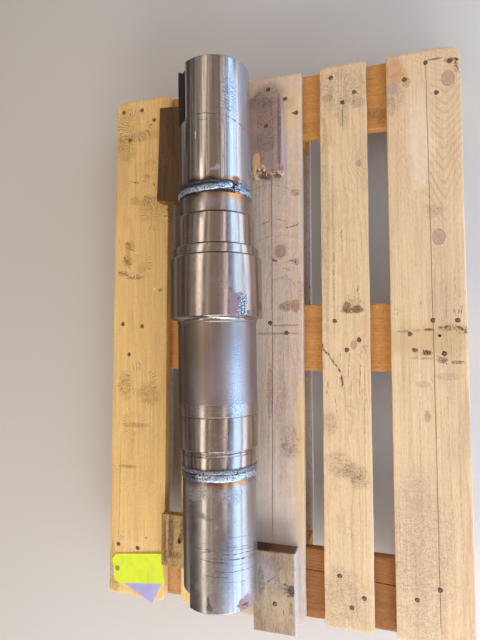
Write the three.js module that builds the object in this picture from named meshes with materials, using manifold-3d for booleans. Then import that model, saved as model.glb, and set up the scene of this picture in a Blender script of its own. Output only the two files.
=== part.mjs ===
// Bare steel turbine rotor shaft, lying on a timber pallet between four loose timber chocks.
// Millimetres. X runs across the pallet, Y along it towards the shaft's keyed end, Z up from the floor.
import * as THREE from 'three';
import { mergeVertices } from 'three/addons/utils/BufferGeometryUtils.js';
import Module from 'manifold-3d';

// Pallet: the common four-way pattern of 1200 by 800 by 144
const palletLength = 1200;
const palletWidth = 800;
const boardThickness = 22;
const blockHeight = 78;
const wideBoard = 145;
const narrowBoard = 100;
const boardGap = (palletWidth - 3 * wideBoard - 2 * narrowBoard) / 4;
const blockLength = 145;
const outerCornerCut = 16;
const innerCornerCut = 5;
const skidTop = boardThickness;
const blockTop = skidTop + blockHeight;
const crossTop = blockTop + boardThickness;
const deckTop = crossTop + boardThickness;

// Deck boards from left to right: width, and how far each one runs past the pallet's near end
const deckBoards = [
  { name: 'deck_board_left', width: wideBoard, overrun: 8 },
  { name: 'deck_board_left_inner', width: narrowBoard, overrun: 4 },
  { name: 'deck_board_middle', width: wideBoard, overrun: 7 },
  { name: 'deck_board_right_inner', width: narrowBoard, overrun: 0 },
  { name: 'deck_board_right', width: wideBoard, overrun: 3 },
];

// Shaft: lengths and diameters of its sections, from the near end to the keyed end
const nearBarrelLength = 241;
const nearBarrelDiameter = 150;
const nearWeldWidth = 26;
const nearNeckLength = 32;
const nearNeckDiameter = 152;
const nearJournalLength = 66;
const nearJournalDiameter = 161.5;
const bandLength = 24;
const bodyLength = 159;
const bodyDiameter = 162.8;
const filletLength = 10;
const collarLength = 124;
const collarDiameter = 190.8;
const ringLength = 21;
const ringDiameter = 178;
const farJournalLength = 65;
const farJournalDiameter = 163.5;
const farNeckLength = 38.5;
const farNeckDiameter = 150;
const farWeldWidth = 26;
const farBarrelLength = 256.5;
const farBarrelDiameter = 152.4;
const beadRise = 3;
const edgeChamfer = 2;
const journalChamfer = 3.5;
const grooveDepth = 1;
const grooveWidth = 2;
const centreHoleDiameter = 16;
const centreHoleDepth = 14;
const seatGap = 0.3;
const turnSegments = 64;

// Keyway in the far barrel, open at its end, and the flat milled across the near barrel
const keywayWidth = 40;
const keywayDepth = 13;
const keywayLength = 125;
const keywayCornerRadius = 6;
const keywayAngle = -46;
const flatAngle = -75;
const flatDepth = 18;
const flatLength = 28;

// Where the shaft lies: over the gap between the second and third deck boards, turned slightly
const shaftNearEndY = 79;
const shaftCrossingX = 308.3;
const shaftCrossingY = 600;
const shaftTurn = 1.117;

// Chocks and shipping tag
const blockingThickness = 38;
const packingThickness = 30;
const tagLength = 133;
const tagWidth = 67;
const tagThickness = 0.8;
const tagCorner = 11;
const tagTurn = 7.3;
const slipLength = 124;
const slipWidth = 52;
const slipThickness = 0.5;
const slipTurn = -25;

const timber = (name, color) =>
  new THREE.MeshStandardMaterial({ name, color, roughness: 0.85, metalness: 0 });
const steel = (name, color, roughness) =>
  new THREE.MeshStandardMaterial({ name, color, roughness, metalness: 1 });
const deckWood = timber('deck_wood', 0xd6b27c);
const bearerWood = timber('bearer_wood', 0xb98449);
const chockWood = timber('chock_wood', 0x8f7a5e);
const groundSteel = steel('ground_steel', 0x9a9794, 0.28);
const weldSteel = steel('weld_steel', 0x8794a3, 0.4);
const tagCard = timber('tag_card', 0xe6f03a);
const slipPaper = timber('slip_paper', 0xb3a8e0);

const wasm = await Module();
wasm.setup();

function toSolid(geometry) {
  const bare = geometry.clone();
  bare.deleteAttribute('normal');
  bare.deleteAttribute('uv');
  const merged = mergeVertices(bare, 1e-4);
  return new wasm.Manifold(new wasm.Mesh({
    numProp: 3,
    vertProperties: new Float32Array(merged.attributes.position.array),
    triVerts: new Uint32Array(merged.index.array),
  }));
}

function toGeometry(solid) {
  const mesh = solid.getMesh();
  const geometry = new THREE.BufferGeometry();
  geometry.setAttribute('position', new THREE.BufferAttribute(mesh.vertProperties, 3));
  geometry.setIndex(new THREE.BufferAttribute(mesh.triVerts, 1));
  geometry.computeVertexNormals();
  return geometry;
}

function piece(name, geometry, material, x = 0, y = 0, z = 0) {
  const mesh = new THREE.Mesh(geometry, material);
  mesh.name = name;
  mesh.position.set(x, y, z);
  return mesh;
}

// Flat stock of a given outline in X and Y, standing from z = 0 to its thickness
function plate(corners, thickness) {
  const outline = new THREE.Shape(corners.map(([x, y]) => new THREE.Vector2(x, y)));
  return new THREE.ExtrudeGeometry(outline, { depth: thickness, bevelEnabled: false });
}

// Board outline from its low corner, with its four corners cut: near left, near right, far right, far left
function boardOutline(width, low, high, cuts) {
  const [nearLeft, nearRight, farRight, farLeft] = cuts;
  return [
    [nearLeft, low], [width - nearRight, low],
    [width, low + nearRight], [width, high - farRight],
    [width - farRight, high], [farLeft, high],
    [0, high - farLeft], [0, low + nearLeft],
  ];
}

function buildPallet() {
  const pallet = new THREE.Group();
  const box = (name, width, length, height, x, y, z) => pallet.add(piece(
    name, new THREE.BoxGeometry(width, length, height), bearerWood,
    x + width / 2, y + length / 2, z + height / 2));

  let left = 0;
  deckBoards.forEach(({ name, width, overrun }, index) => {
    const first = index === 0;
    const last = index === deckBoards.length - 1;
    const outerLeft = first ? outerCornerCut : innerCornerCut;
    const outerRight = last ? outerCornerCut : innerCornerCut;
    const outline = boardOutline(width, -overrun, palletLength, [outerLeft, outerRight, outerRight, outerLeft]);
    pallet.add(piece(name, plate(outline, boardThickness), deckWood, left, 0, crossTop));
    left += width + boardGap;
  });

  const columns = [
    { side: 'left', x: 0, width: narrowBoard },
    { side: 'middle', x: (palletWidth - wideBoard) / 2, width: wideBoard },
    { side: 'right', x: palletWidth - narrowBoard, width: narrowBoard },
  ];
  const rows = [
    { end: 'near', y: 0 },
    { end: 'middle', y: (palletLength - blockLength) / 2 },
    { end: 'far', y: palletLength - blockLength },
  ];
  rows.forEach(({ end, y }) => {
    box(`cross_board_${end}`, palletWidth, wideBoard, boardThickness, 0, y, blockTop);
    columns.forEach(({ side, x, width }) =>
      box(`block_${end}_${side}`, width, blockLength, blockHeight, x, y, skidTop));
  });
  columns.forEach(({ side, x, width }) =>
    box(`skid_${side}`, width, palletLength, boardThickness, x, 0, 0));
  return pallet;
}

// Turned outline as [radius, distance along the axis], spun about the axis
function turned(profile) {
  return new THREE.LatheGeometry(profile.map(([r, s]) => new THREE.Vector2(r, s)), turnSegments);
}

// Barrel with a lathe centre in its outer end; outerEnd is -1 at the near end and 1 at the far end
function barrel(diameter, low, high, outerEnd) {
  const radius = diameter / 2;
  const hole = centreHoleDiameter / 2;
  const lowEnd = outerEnd < 0
    ? [[0, low + centreHoleDepth], [hole, low], [radius - edgeChamfer, low], [radius, low + edgeChamfer]]
    : [[0, low], [radius, low]];
  const highEnd = outerEnd > 0
    ? [[radius, high - edgeChamfer], [radius - edgeChamfer, high], [hole, high], [0, high - centreHoleDepth]]
    : [[radius, high], [0, high]];
  return turned([...lowEnd, ...highEnd]);
}

// Weld that joins a barrel to a neck, swelling out between the two
function weld(radius, low, high) {
  const crest = radius + beadRise;
  const toe = (high - low) / 6;
  return turned([
    [0, low], [radius - beadRise, low], [radius + beadRise / 2, low + toe],
    [crest, low + 2 * toe], [crest, high - 2 * toe],
    [radius + beadRise / 2, high - toe], [radius - beadRise, high], [0, high],
  ]);
}

// Block that cuts the surface at an angle from the top, down to a depth, over a stretch of the axis
function cutter(outline, radius, depth, angle) {
  const height = radius;
  const slab = new THREE.ExtrudeGeometry(outline, { depth: height, bevelEnabled: false });
  slab.translate(0, 0, radius - depth);
  slab.rotateY(THREE.MathUtils.degToRad(angle));
  return toSolid(slab);
}

function keywayOutline(low, high) {
  const half = keywayWidth / 2;
  const corner = keywayCornerRadius;
  const outline = new THREE.Shape();
  outline.moveTo(half, high);
  outline.lineTo(-half, high);
  outline.lineTo(-half, low + corner);
  outline.absarc(corner - half, low + corner, corner, Math.PI, 1.5 * Math.PI, false);
  outline.absarc(half - corner, low + corner, corner, 1.5 * Math.PI, 2 * Math.PI, false);
  outline.lineTo(half, high);
  return outline;
}

function flatOutline(radius, low, high) {
  const outline = new THREE.Shape();
  outline.moveTo(-radius, low);
  outline.lineTo(radius, low);
  outline.lineTo(radius, high);
  outline.lineTo(-radius, high);
  return outline;
}

function buildShaft() {
  const shaft = new THREE.Group();
  const nearWeldStart = nearBarrelLength;
  const nearNeckStart = nearWeldStart + nearWeldWidth;
  const nearJournalStart = nearNeckStart + nearNeckLength;
  const bandStart = nearJournalStart + nearJournalLength;
  const filletStart = bandStart + bandLength + bodyLength;
  const collarStart = filletStart + filletLength;
  const ringStart = collarStart + collarLength;
  const farJournalStart = ringStart + ringLength;
  const farNeckStart = farJournalStart + farJournalLength;
  const farWeldStart = farNeckStart + farNeckLength;
  const farBarrelStart = farWeldStart + farWeldWidth;
  const shaftLength = farBarrelStart + farBarrelLength;

  const nearBarrelRadius = nearBarrelDiameter / 2;
  const farBarrelRadius = farBarrelDiameter / 2;
  const nearNeck = nearNeckDiameter / 2;
  const nearJournal = nearJournalDiameter / 2;
  const body = bodyDiameter / 2;
  const collar = collarDiameter / 2;
  const ring = ringDiameter / 2;
  const farJournal = farJournalDiameter / 2;
  const farNeck = farNeckDiameter / 2;
  const groove = (at, radius) => [
    [radius, at - grooveWidth / 2], [radius - grooveDepth, at],
    [radius, at + grooveWidth / 2],
  ];

  // One forging, turned to its steps
  const core = turned([
    [0, nearNeckStart], [nearNeck, nearNeckStart],
    ...groove(nearJournalStart - 9, nearNeck),
    ...groove(nearJournalStart - 4, nearNeck),
    [nearNeck, nearJournalStart],
    [nearJournal - journalChamfer, nearJournalStart],
    [nearJournal, nearJournalStart + journalChamfer],
    [nearJournal, bandStart - grooveWidth],
    [nearJournal - grooveDepth, bandStart - grooveWidth / 2],
    [body, bandStart],
    [body, filletStart],
    [body + filletLength / 5, filletStart + filletLength / 2],
    [body + filletLength * 0.6, collarStart],
    [collar - edgeChamfer, collarStart],
    [collar, collarStart + edgeChamfer],
    [collar, ringStart - edgeChamfer],
    [collar - edgeChamfer, ringStart],
    [ring - grooveDepth, ringStart],
    [ring, ringStart + grooveWidth],
    [ring, farJournalStart - edgeChamfer],
    [ring - edgeChamfer, farJournalStart],
    [farJournal - grooveDepth, farJournalStart],
    [farJournal, farJournalStart + grooveWidth],
    [farJournal, farNeckStart - journalChamfer],
    [farJournal - journalChamfer, farNeckStart],
    [farNeck - grooveDepth, farNeckStart],
    [farNeck, farNeckStart + grooveWidth],
    [farNeck, farWeldStart], [0, farWeldStart],
  ]);
  shaft.add(piece('rotor_shaft', core, groundSteel));

  const nearBlank = toSolid(barrel(nearBarrelDiameter, 0, nearWeldStart - seatGap, -1));
  const flatCut = cutter(
    flatOutline(nearBarrelRadius, -flatLength, flatLength), nearBarrelRadius, flatDepth, flatAngle);
  shaft.add(piece('end_barrel_near', toGeometry(nearBlank.subtract(flatCut)), groundSteel));

  const farBlank = toSolid(barrel(farBarrelDiameter, farBarrelStart + seatGap, shaftLength, 1));
  const keywayCut = cutter(
    keywayOutline(shaftLength - keywayLength, shaftLength + keywayWidth),
    farBarrelRadius, keywayDepth, keywayAngle);
  shaft.add(piece('end_barrel_far', toGeometry(farBlank.subtract(keywayCut)), groundSteel));

  shaft.add(piece('weld_near',
    weld(nearBarrelRadius, nearWeldStart, nearNeckStart - seatGap), weldSteel));
  shaft.add(piece('weld_far',
    weld(farNeck, farWeldStart + seatGap, farBarrelStart), weldSteel));

  // The collar beds on the top edges of the two boards beside the gap
  const turn = THREE.MathUtils.degToRad(shaftTurn);
  const slope = Math.tan(turn);
  const gapLeft = wideBoard + boardGap + narrowBoard;
  const gapRight = gapLeft + boardGap;
  const axisX = (y) => shaftCrossingX - slope * (y - shaftCrossingY);
  const collarEnds = [collarStart, ringStart].map((s) => axisX(shaftNearEndY + s));
  const edgeReach = Math.min(...collarEnds.flatMap((x) => [x - gapLeft, gapRight - x]));
  const axisHeight = deckTop + seatGap + Math.sqrt(collar ** 2 - edgeReach ** 2);
  shaft.position.set(axisX(shaftNearEndY), shaftNearEndY, axisHeight);
  shaft.rotation.z = turn;
  return { shaft, axisX, axisHeight };
}

// Sideways reach of a barrel from its axis at a chock's top face
function chockReach(diameter, axisHeight, thickness) {
  const rise = axisHeight - deckTop - thickness;
  return Math.sqrt((diameter / 2) ** 2 - rise ** 2) + seatGap;
}

function buildChocks(axisX, axisHeight) {
  const chocks = new THREE.Group();
  const add = (name, corners, thickness) =>
    chocks.add(piece(name, plate(corners, thickness), chockWood, 0, 0, deckTop));

  const farLeft = (y) => axisX(y) - chockReach(farBarrelDiameter, axisHeight, packingThickness);
  add('chock_far_left', [
    [130, 926], [farLeft(907), 907], [farLeft(1146), 1146], [135, 1153],
  ], packingThickness);

  const farRight = (y) => axisX(y) + chockReach(farBarrelDiameter, axisHeight, boardThickness);
  add('chock_far_right', [
    [farRight(958), 958], [405, 960], [436, 967],
    [431, 1145], [390, 1146], [farRight(1140), 1140],
  ], boardThickness);

  const nearLeft = (y) => axisX(y) - chockReach(nearBarrelDiameter, axisHeight, boardThickness);
  add('chock_near_left', [
    [148, 85], [nearLeft(83), 83], [nearLeft(198), 198], [146.6, 198],
  ], boardThickness);

  const nearRight = (y) => axisX(y) + chockReach(nearBarrelDiameter, axisHeight, blockingThickness);
  add('chock_near_right', [
    [nearRight(-10), -10], [461, -9], [459.5, 154.5], [nearRight(154.5), 154.5],
  ], blockingThickness);
  return chocks;
}

function buildTag() {
  const labels = new THREE.Group();
  const slip = new THREE.Group();
  slip.position.set(115, -16, deckTop);
  slip.rotation.z = THREE.MathUtils.degToRad(slipTurn);
  slip.add(piece('tag_slip', plate(
    [[-slipLength, 0], [0, 0], [0, slipWidth], [-slipLength, slipWidth]], slipThickness), slipPaper));

  const halfLength = tagLength / 2;
  const halfWidth = tagWidth / 2;
  const tag = new THREE.Group();
  tag.position.set(77, 58.5, deckTop + slipThickness + seatGap);
  tag.rotation.z = THREE.MathUtils.degToRad(tagTurn);
  tag.add(piece('tag_card', plate([
    [tagCorner - halfLength, -halfWidth], [halfLength, -halfWidth], [halfLength, halfWidth],
    [tagCorner - halfLength, halfWidth], [-halfLength, halfWidth - tagCorner],
    [-halfLength, tagCorner - halfWidth],
  ], tagThickness), tagCard));
  labels.add(slip, tag);
  return labels;
}

const model = new THREE.Group();
const { shaft, axisX, axisHeight } = buildShaft();
model.add(buildPallet(), shaft, buildChocks(axisX, axisHeight), buildTag());

// The origin is the middle of the footprint, on the floor
model.updateMatrixWorld(true);
const extent = new THREE.Box3().setFromObject(model, true);
const middle = extent.getCenter(new THREE.Vector3());
model.position.set(-middle.x, -middle.y, -extent.min.z);
model.updateMatrixWorld(true);

export default model;
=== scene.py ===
import math

import bmesh
import bpy
import numpy as np
from mathutils import Matrix, Quaternion, Vector, noise


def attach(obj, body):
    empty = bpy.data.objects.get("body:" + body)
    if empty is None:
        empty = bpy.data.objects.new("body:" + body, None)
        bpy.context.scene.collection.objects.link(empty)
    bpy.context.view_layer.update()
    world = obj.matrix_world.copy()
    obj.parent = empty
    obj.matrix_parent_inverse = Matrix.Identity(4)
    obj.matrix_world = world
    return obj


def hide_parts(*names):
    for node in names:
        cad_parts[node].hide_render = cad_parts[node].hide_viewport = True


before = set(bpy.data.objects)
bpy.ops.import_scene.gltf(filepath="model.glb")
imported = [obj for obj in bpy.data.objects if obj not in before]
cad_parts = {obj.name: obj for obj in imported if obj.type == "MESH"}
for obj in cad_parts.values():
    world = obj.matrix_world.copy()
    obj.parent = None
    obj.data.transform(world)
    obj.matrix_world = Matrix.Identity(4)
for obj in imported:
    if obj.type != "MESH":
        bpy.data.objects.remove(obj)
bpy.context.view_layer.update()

# Sizes in millimetres, in the pallet's own frame: X across from its left edge, Y along from its near end
MM = 0.001
FOOTPRINT_MIDDLE = (400, 592)
PALLET_LENGTH = 1200
PALLET_WIDTH = 800
BOARD = 22
BLOCK_TOP = 100
CROSS_TOP = 122
DECK_TOP = 144
AXIS_HEIGHT = 237.807
SHAFT_NEAR_END = (318.458, 79)
SHAFT_TURN = math.radians(1.117)

# The shaft's sections, as distances from its near end
NEAR_BARREL_END = 241
NEAR_NECK = 267
NEAR_JOURNAL = 299
BAND = 365
BODY = 389
FILLET = 548
COLLAR = 558
RING = 682
FAR_JOURNAL = 703
FAR_NECK = 768
FAR_WELD = 806.5
FAR_BARREL = 832.5
SHAFT_END = 1089
NEAR_BARREL_RADIUS = 75
NEAR_NECK_RADIUS = 76
JOURNAL_RADIUS = 80.75
BODY_RADIUS = 81.4
COLLAR_RADIUS = 95.4
RING_RADIUS = 89
FAR_JOURNAL_RADIUS = 81.75
FAR_NECK_RADIUS = 75
FAR_BARREL_RADIUS = 76.2
KEYWAY_ANGLE = math.radians(-46)
KEYWAY_WIDTH = 40
KEYWAY_DEPTH = 13
KEYWAY_LENGTH = 125
KEYWAY_CORNER = 6
FLAT_ANGLE = math.radians(-75)
FLAT_DEPTH = 18
FLAT_LENGTH = 28
GROOVE_RADIUS = 74.9
TURNED_EDGE = 0.6
TURN_STEPS = 256
CUTTER_TOP = 120

# How far the turned pieces run on under the weld beads, and how wide they are there
UNDER_WELD = 8
UNDER_WELD_RADIUS = 60

# The gap between two pieces of timber that lie on each other
SEAM = 0.2


def row(x, y, z=0.0):
    """A point of the pallet's frame in millimetres, as a point of the row frame in metres."""
    return Vector(((x - FOOTPRINT_MIDDLE[0]) * MM, (y - FOOTPRINT_MIDDLE[1]) * MM, z * MM))


def rgb(red, green, blue):
    """A screen colour from 0 to 255, as the linear colour that shaders use."""
    linear = [c / 255 / 12.92 if c <= 10 else ((c / 255 + 0.055) / 1.055) ** 2.4 for c in (red, green, blue)]
    return (*linear, 1.0)


# Mesh helpers


def make_object(name, vertices, faces, materials, sharp_angle=32):
    """A smooth-shaded mesh object, with its faces turned outwards and its hard edges kept sharp."""
    mesh = bpy.data.meshes.new(name)
    mesh.from_pydata([tuple(v) for v in vertices], [], faces)
    work = bmesh.new()
    work.from_mesh(mesh)
    bmesh.ops.recalc_face_normals(work, faces=work.faces)
    work.to_mesh(mesh)
    work.free()
    for material in materials:
        mesh.materials.append(material)
    smooth(mesh, sharp_angle)
    made = bpy.data.objects.new(name, mesh)
    bpy.context.scene.collection.objects.link(made)
    return made


def smooth(mesh, sharp_angle):
    """Smooth shading, with edges over an angle in degrees kept sharp."""
    mesh.polygons.foreach_set("use_smooth", [True] * len(mesh.polygons))
    mesh.set_sharp_from_angle(angle=math.radians(sharp_angle))
    mesh.update()


def settle(piece, slot, *nodes):
    """The piece rides on the part's one body and stands for these CAD nodes, which it hides. Its slot is not
    used.
    """
    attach(piece, "root")
    if nodes:
        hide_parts(*nodes)
    return piece


def band_faces(count, around, first=0):
    """The faces between rings of points, where first is the number of the first ring's first point."""
    faces = []
    for low in range(first, first + (count - 1) * around, around):
        high = low + around
        for j in range(around):
            k = (j + 1) % around
            faces.append((low + j, low + k, high + k, high + j))
    return faces


def skin(rings):
    """Vertices and faces of a closed skin over rings of points, with a flat cap at each end."""
    count, around, _ = rings.shape
    vertices = rings.reshape(-1, 3)
    faces = band_faces(count, around)
    faces.append(tuple(range(around)))
    faces.append(tuple((count - 1) * around + j for j in range(around)))
    return vertices, faces


def soften(profile, radius):
    """Rounds the corners of a turned outline, with four points in the place of each."""
    points = [np.array(p, float) for p in profile]
    out = [points[0]]
    for before, corner, after in zip(points, points[1:], points[2:]):
        room = min(np.linalg.norm(corner - before), np.linalg.norm(after - corner)) * 0.45
        reach = min(radius, room)
        start = corner + (before - corner) / np.linalg.norm(before - corner) * reach
        stop = corner + (after - corner) / np.linalg.norm(after - corner) * reach
        for share in np.linspace(0, 1, 4):
            out.append((1 - share) ** 2 * start + 2 * share * (1 - share) * corner + share ** 2 * stop)
    out.append(points[-1])
    return out


def turned(name, profile, material):
    """A turned piece on the shaft's axis, from an outline of radius and distance along the axis."""
    outline = soften(profile, TURNED_EDGE)
    angles = np.linspace(0, 2 * math.pi, TURN_STEPS, endpoint=False)
    rings = np.array([[(r * math.sin(a), s, r * math.cos(a)) for a in angles] for r, s in outline]) * MM
    vertices, faces = skin(rings)
    return make_object(name, vertices, faces, [material])


def carve(piece, cutter, bevel):
    """Cuts the cutter out of the piece, rounds the new edges slightly and removes the cutter."""
    cut = piece.modifiers.new("cut", "BOOLEAN")
    cut.operation = "DIFFERENCE"
    cut.solver = "EXACT"
    cut.object = cutter
    edge = piece.modifiers.new("edge", "BEVEL")
    edge.width = bevel * MM
    edge.segments = 2
    edge.limit_method = "ANGLE"
    edge.angle_limit = math.radians(40)
    edge.use_clamp_overlap = False
    bpy.context.view_layer.update()
    shaped = bpy.data.meshes.new_from_object(piece.evaluated_get(bpy.context.evaluated_depsgraph_get()))
    piece.modifiers.clear()
    piece.data = shaped
    bpy.data.objects.remove(cutter)
    smooth(shaped, 32)


def prism(name, outline, low, high, angle):
    """A block over an outline of (across, along) between two heights, turned about the shaft's axis."""
    turn = Matrix.Rotation(angle, 3, "Y")
    points = [turn @ Vector((x, y, z)) * MM for z in (low, high) for x, y in outline]
    count = len(outline)
    faces = [tuple(range(count)), tuple(range(count, 2 * count))]
    faces += [(i, (i + 1) % count, count + (i + 1) % count, count + i) for i in range(count)]
    return make_object(name, points, faces, [])


def along(points, places):
    """A line of (place, value) pairs, read at the given places."""
    return np.interp(places, [p for p, _ in points], [v for _, v in points])


def wander(places, size, scale, seed):
    """A slow random line: size in millimetres, scale in millimetres between its swings."""
    return np.array([noise.noise(Vector((p / scale, seed * 7.31, 0.5))) for p in places]) * size


# How far from its ends a crack closes, and how far along from a torn end the wood is whole again
CRACK_FADE = 40
TEAR_REACH = 20


def plank(name, left, right, near, far, low, high, materials, seed, cracks=(), across=False,
          columns=24, rows=110, arris=1.6, wear=1.0, torn=0.0):
    """Sawn timber, swept from its near end to its far end.

    left and right are its edges at the near and at the far end. near and far are its end outlines, as
    (share of the width, place along). A crack is (points along it, width, depth). across swaps X and Y.
    torn is how deep the near end's top is torn away.
    """
    t = np.concatenate([[0, 0.0012], np.linspace(0.006, 0.994, rows), [0.9988, 1]])
    u = np.tile(np.linspace(0, 1, columns), (len(t), 1))
    middle = along(near, [0.5])[0] * (1 - t) + along(far, [0.5])[0] * t
    edge_left = left[0] * (1 - t) + left[1] * t + wander(middle, 0.9 * wear, 90, seed)
    edge_right = right[0] * (1 - t) + right[1] * t + wander(middle, 0.9 * wear, 80, seed + 3)
    width = edge_right - edge_left
    sink = np.zeros_like(u)
    for points, gap, depth in cracks:
        line = along([(y, x) for x, y in points], middle) + wander(middle, 0.5, 60, seed + 5)
        at = (line - edge_left) / width
        nearest = int(np.clip(round(float(np.mean(at)) * (columns - 1)), 2, columns - 3))
        first, last = points[0][1], points[-1][1]
        open_share = np.clip(np.minimum(middle - first, last - middle) / CRACK_FADE, 0, 1)
        u[:, nearest] = at
        u[:, nearest - 1] = at - gap / 2 / width
        u[:, nearest + 1] = at + gap / 2 / width
        sink[:, nearest] = depth * open_share
    chips = 1 + np.clip(wander(middle, 4.5 * wear, 17, seed + 9) - 1.4 * wear, 0, 3)
    dents = 1 + np.clip(wander(middle, 4.5 * wear, 21, seed + 12) - 1.4 * wear, 0, 3)
    inset = np.zeros_like(t)
    inset[[0, -1]] = 0.9
    cut_left = arris * chips
    cut_right = arris * dents

    def place_along(share):
        low_end = along(near, share)
        high_end = along(far, share)
        return low_end * (1 - t) + high_end * t

    ring = []

    def add(x, z, share):
        x = np.clip(x, edge_left + inset, edge_right - inset)
        z = np.clip(z, low + inset, high - inset)
        ring.append(np.stack([x, place_along(share), z], axis=1))

    inner_left = edge_left + cut_left
    inner_right = edge_right - cut_right
    relief = wander(middle, 0.35 * wear, 30, seed + 20)
    for c in range(columns):
        x = np.clip(edge_left + width * u[:, c], inner_left, inner_right)
        raggedness = 0.5 + wander(x * 3 + middle * 4, 0.9, 14, seed + c)
        tear = np.clip(1 - (middle - middle[0]) / TEAR_REACH, 0, 1) * torn * raggedness
        add(x, high + relief * np.sin(math.pi * c / (columns - 1)) - sink[:, c] - np.clip(tear, -1.5, torn),
            np.clip(u[:, c], 0, 1))
    add(edge_right - 0.3 * cut_right, high - 0.3 * cut_right, np.ones_like(t))
    add(edge_right, high - cut_right, np.ones_like(t))
    add(edge_right, low + arris + 0 * t, np.ones_like(t))
    for c in reversed(range(columns)):
        x = np.clip(edge_left + width * u[:, c], edge_left + arris, edge_right - arris)
        add(x, low + 0 * t, np.clip(u[:, c], 0, 1))
    add(edge_left, low + arris + 0 * t, np.zeros_like(t))
    add(edge_left, high - cut_left, np.zeros_like(t))
    add(edge_left + 0.3 * cut_left, high - 0.3 * cut_left, np.zeros_like(t))

    rings = np.stack(ring, axis=1)
    if across:
        rings = rings[:, :, [1, 0, 2]]
    rings = (rings - np.array([*FOOTPRINT_MIDDLE, 0])) * MM
    count, around, _ = rings.shape
    vertices, faces = skin(rings)
    faces = faces[:-2]
    for start in (0, (count - 1) * around):
        for c in range(columns - 1):
            other = 2 * columns + 2 - c
            faces.append((start + c, start + c + 1, start + other - 1, start + other))
        faces.append(tuple(start + i for i in range(columns - 1, columns + 4)))
        faces.append(tuple(start + i for i in (*range(2 * columns + 2, around), 0)))
    return make_object(name, vertices, faces, materials, 38)


# Shader helpers


class Shader:
    """A material's nodes, built with short calls. Every call gives back the socket that holds its result."""

    def __init__(self, name):
        self.material = bpy.data.materials.new(name)
        self.material.use_nodes = True
        self.tree = self.material.node_tree
        self.tree.nodes.clear()
        self.object = self.node("ShaderNodeTexCoord").outputs["Object"]

    def plug(self, socket, value):
        if isinstance(value, bpy.types.NodeSocket):
            self.tree.links.new(value, socket)
        else:
            socket.default_value = value

    def node(self, kind, sockets=None, **settings):
        made = self.tree.nodes.new(kind)
        for key, value in settings.items():
            setattr(made, key, value)
        for key, value in (sockets or {}).items():
            self.plug(made.inputs[key], value)
        return made

    def math(self, operation, *values):
        return self.node("ShaderNodeMath", dict(enumerate(values)), operation=operation).outputs[0]

    def times(self, *values):
        result = values[0]
        for value in values[1:]:
            result = self.math("MULTIPLY", result, value)
        return result

    def plus(self, *values):
        result = values[0]
        for value in values[1:]:
            result = self.math("ADD", result, value)
        return result

    def vector(self, operation, first, second=None):
        made = self.node("ShaderNodeVectorMath", {0: first}, operation=operation)
        if second is not None:
            self.plug(made.inputs[1], second)
        return made.outputs["Value" if operation in ("LENGTH", "DOT_PRODUCT") else "Vector"]

    def most(self, first, second):
        return self.math("MAXIMUM", first, second)

    def step(self, value, low, high):
        """0 at low and 1 at high, smooth between them. low may be the larger."""
        made = self.node("ShaderNodeMapRange", {0: value, 1: low, 2: high}, interpolation_type="SMOOTHSTEP")
        return made.outputs[0]

    def between(self, value, low, high, soft):
        rise = self.step(value, low - soft, low + soft)
        fall = self.step(value, high + soft, high - soft)
        return self.times(rise, fall)

    def noise(self, vector, scale=1.0, detail=2.0, roughness=0.5, distortion=0.0):
        sockets = {"Vector": vector, "Scale": scale, "Detail": detail, "Roughness": roughness,
                   "Distortion": distortion}
        return self.node("ShaderNodeTexNoise", sockets).outputs[0]

    def stretch(self, vector, scale, shift=(0, 0, 0)):
        sockets = {"Vector": vector, "Scale": scale, "Location": shift}
        return self.node("ShaderNodeMapping", sockets).outputs[0]

    def mix(self, factor, first, second, blend="MIX"):
        made = self.node("ShaderNodeMix", {0: factor}, data_type="RGBA", blend_type=blend)
        self.plug(made.inputs[6], first)
        self.plug(made.inputs[7], second)
        return made.outputs[2]

    def grey(self, value):
        return self.node("ShaderNodeCombineColor", {0: value, 1: value, 2: value}).outputs[0]

    def split(self, vector):
        return self.node("ShaderNodeSeparateXYZ", {0: vector}).outputs

    def join(self, x, y, z):
        return self.node("ShaderNodeCombineXYZ", {0: x, 1: y, 2: z}).outputs[0]

    def spot(self, flat, centre, size, ragged, ragged_scale, soft=0.15, boxed=False):
        """1 inside an ellipse or a box with a ragged rim, 0 outside it. centre and size are in metres."""
        offset = self.vector("SUBTRACT", flat, (centre[0], centre[1], 0))
        scaled = self.vector("MULTIPLY", offset, (1 / size[0], 1 / size[1], 0))
        if boxed:
            sides = self.split(self.vector("ABSOLUTE", scaled))
            reach = self.most(sides[0], sides[1])
        else:
            reach = self.vector("LENGTH", scaled)
        rim = self.math("MULTIPLY_ADD", self.noise(flat, ragged_scale, 3.0, 0.6), ragged, reach)
        return self.step(rim, 1 + ragged / 2 + soft, 1 + ragged / 2 - soft)

    def surface(self, colour, roughness, height, bump_distance, bump_strength=1.0, **constants):
        """The principled surface. The constants are set on its own sockets."""
        bump = self.node("ShaderNodeBump", {"Height": height, "Strength": bump_strength,
                                            "Distance": bump_distance})
        sockets = {"Base Color": colour, "Roughness": roughness, "Normal": bump.outputs[0]}
        sockets.update({key.replace("_", " "): value for key, value in constants.items()})
        shaded = self.node("ShaderNodeBsdfPrincipled", sockets)
        self.node("ShaderNodeOutputMaterial", {"Surface": shaded.outputs[0]})


# Timber materials

TREAD = rgb(168, 122, 70)
# A pale colour painted as the highlight on the edges of pressed boot marks
TREAD_HIGHLIGHT = rgb(252, 238, 208)
DUST = rgb(196, 178, 164)


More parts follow.
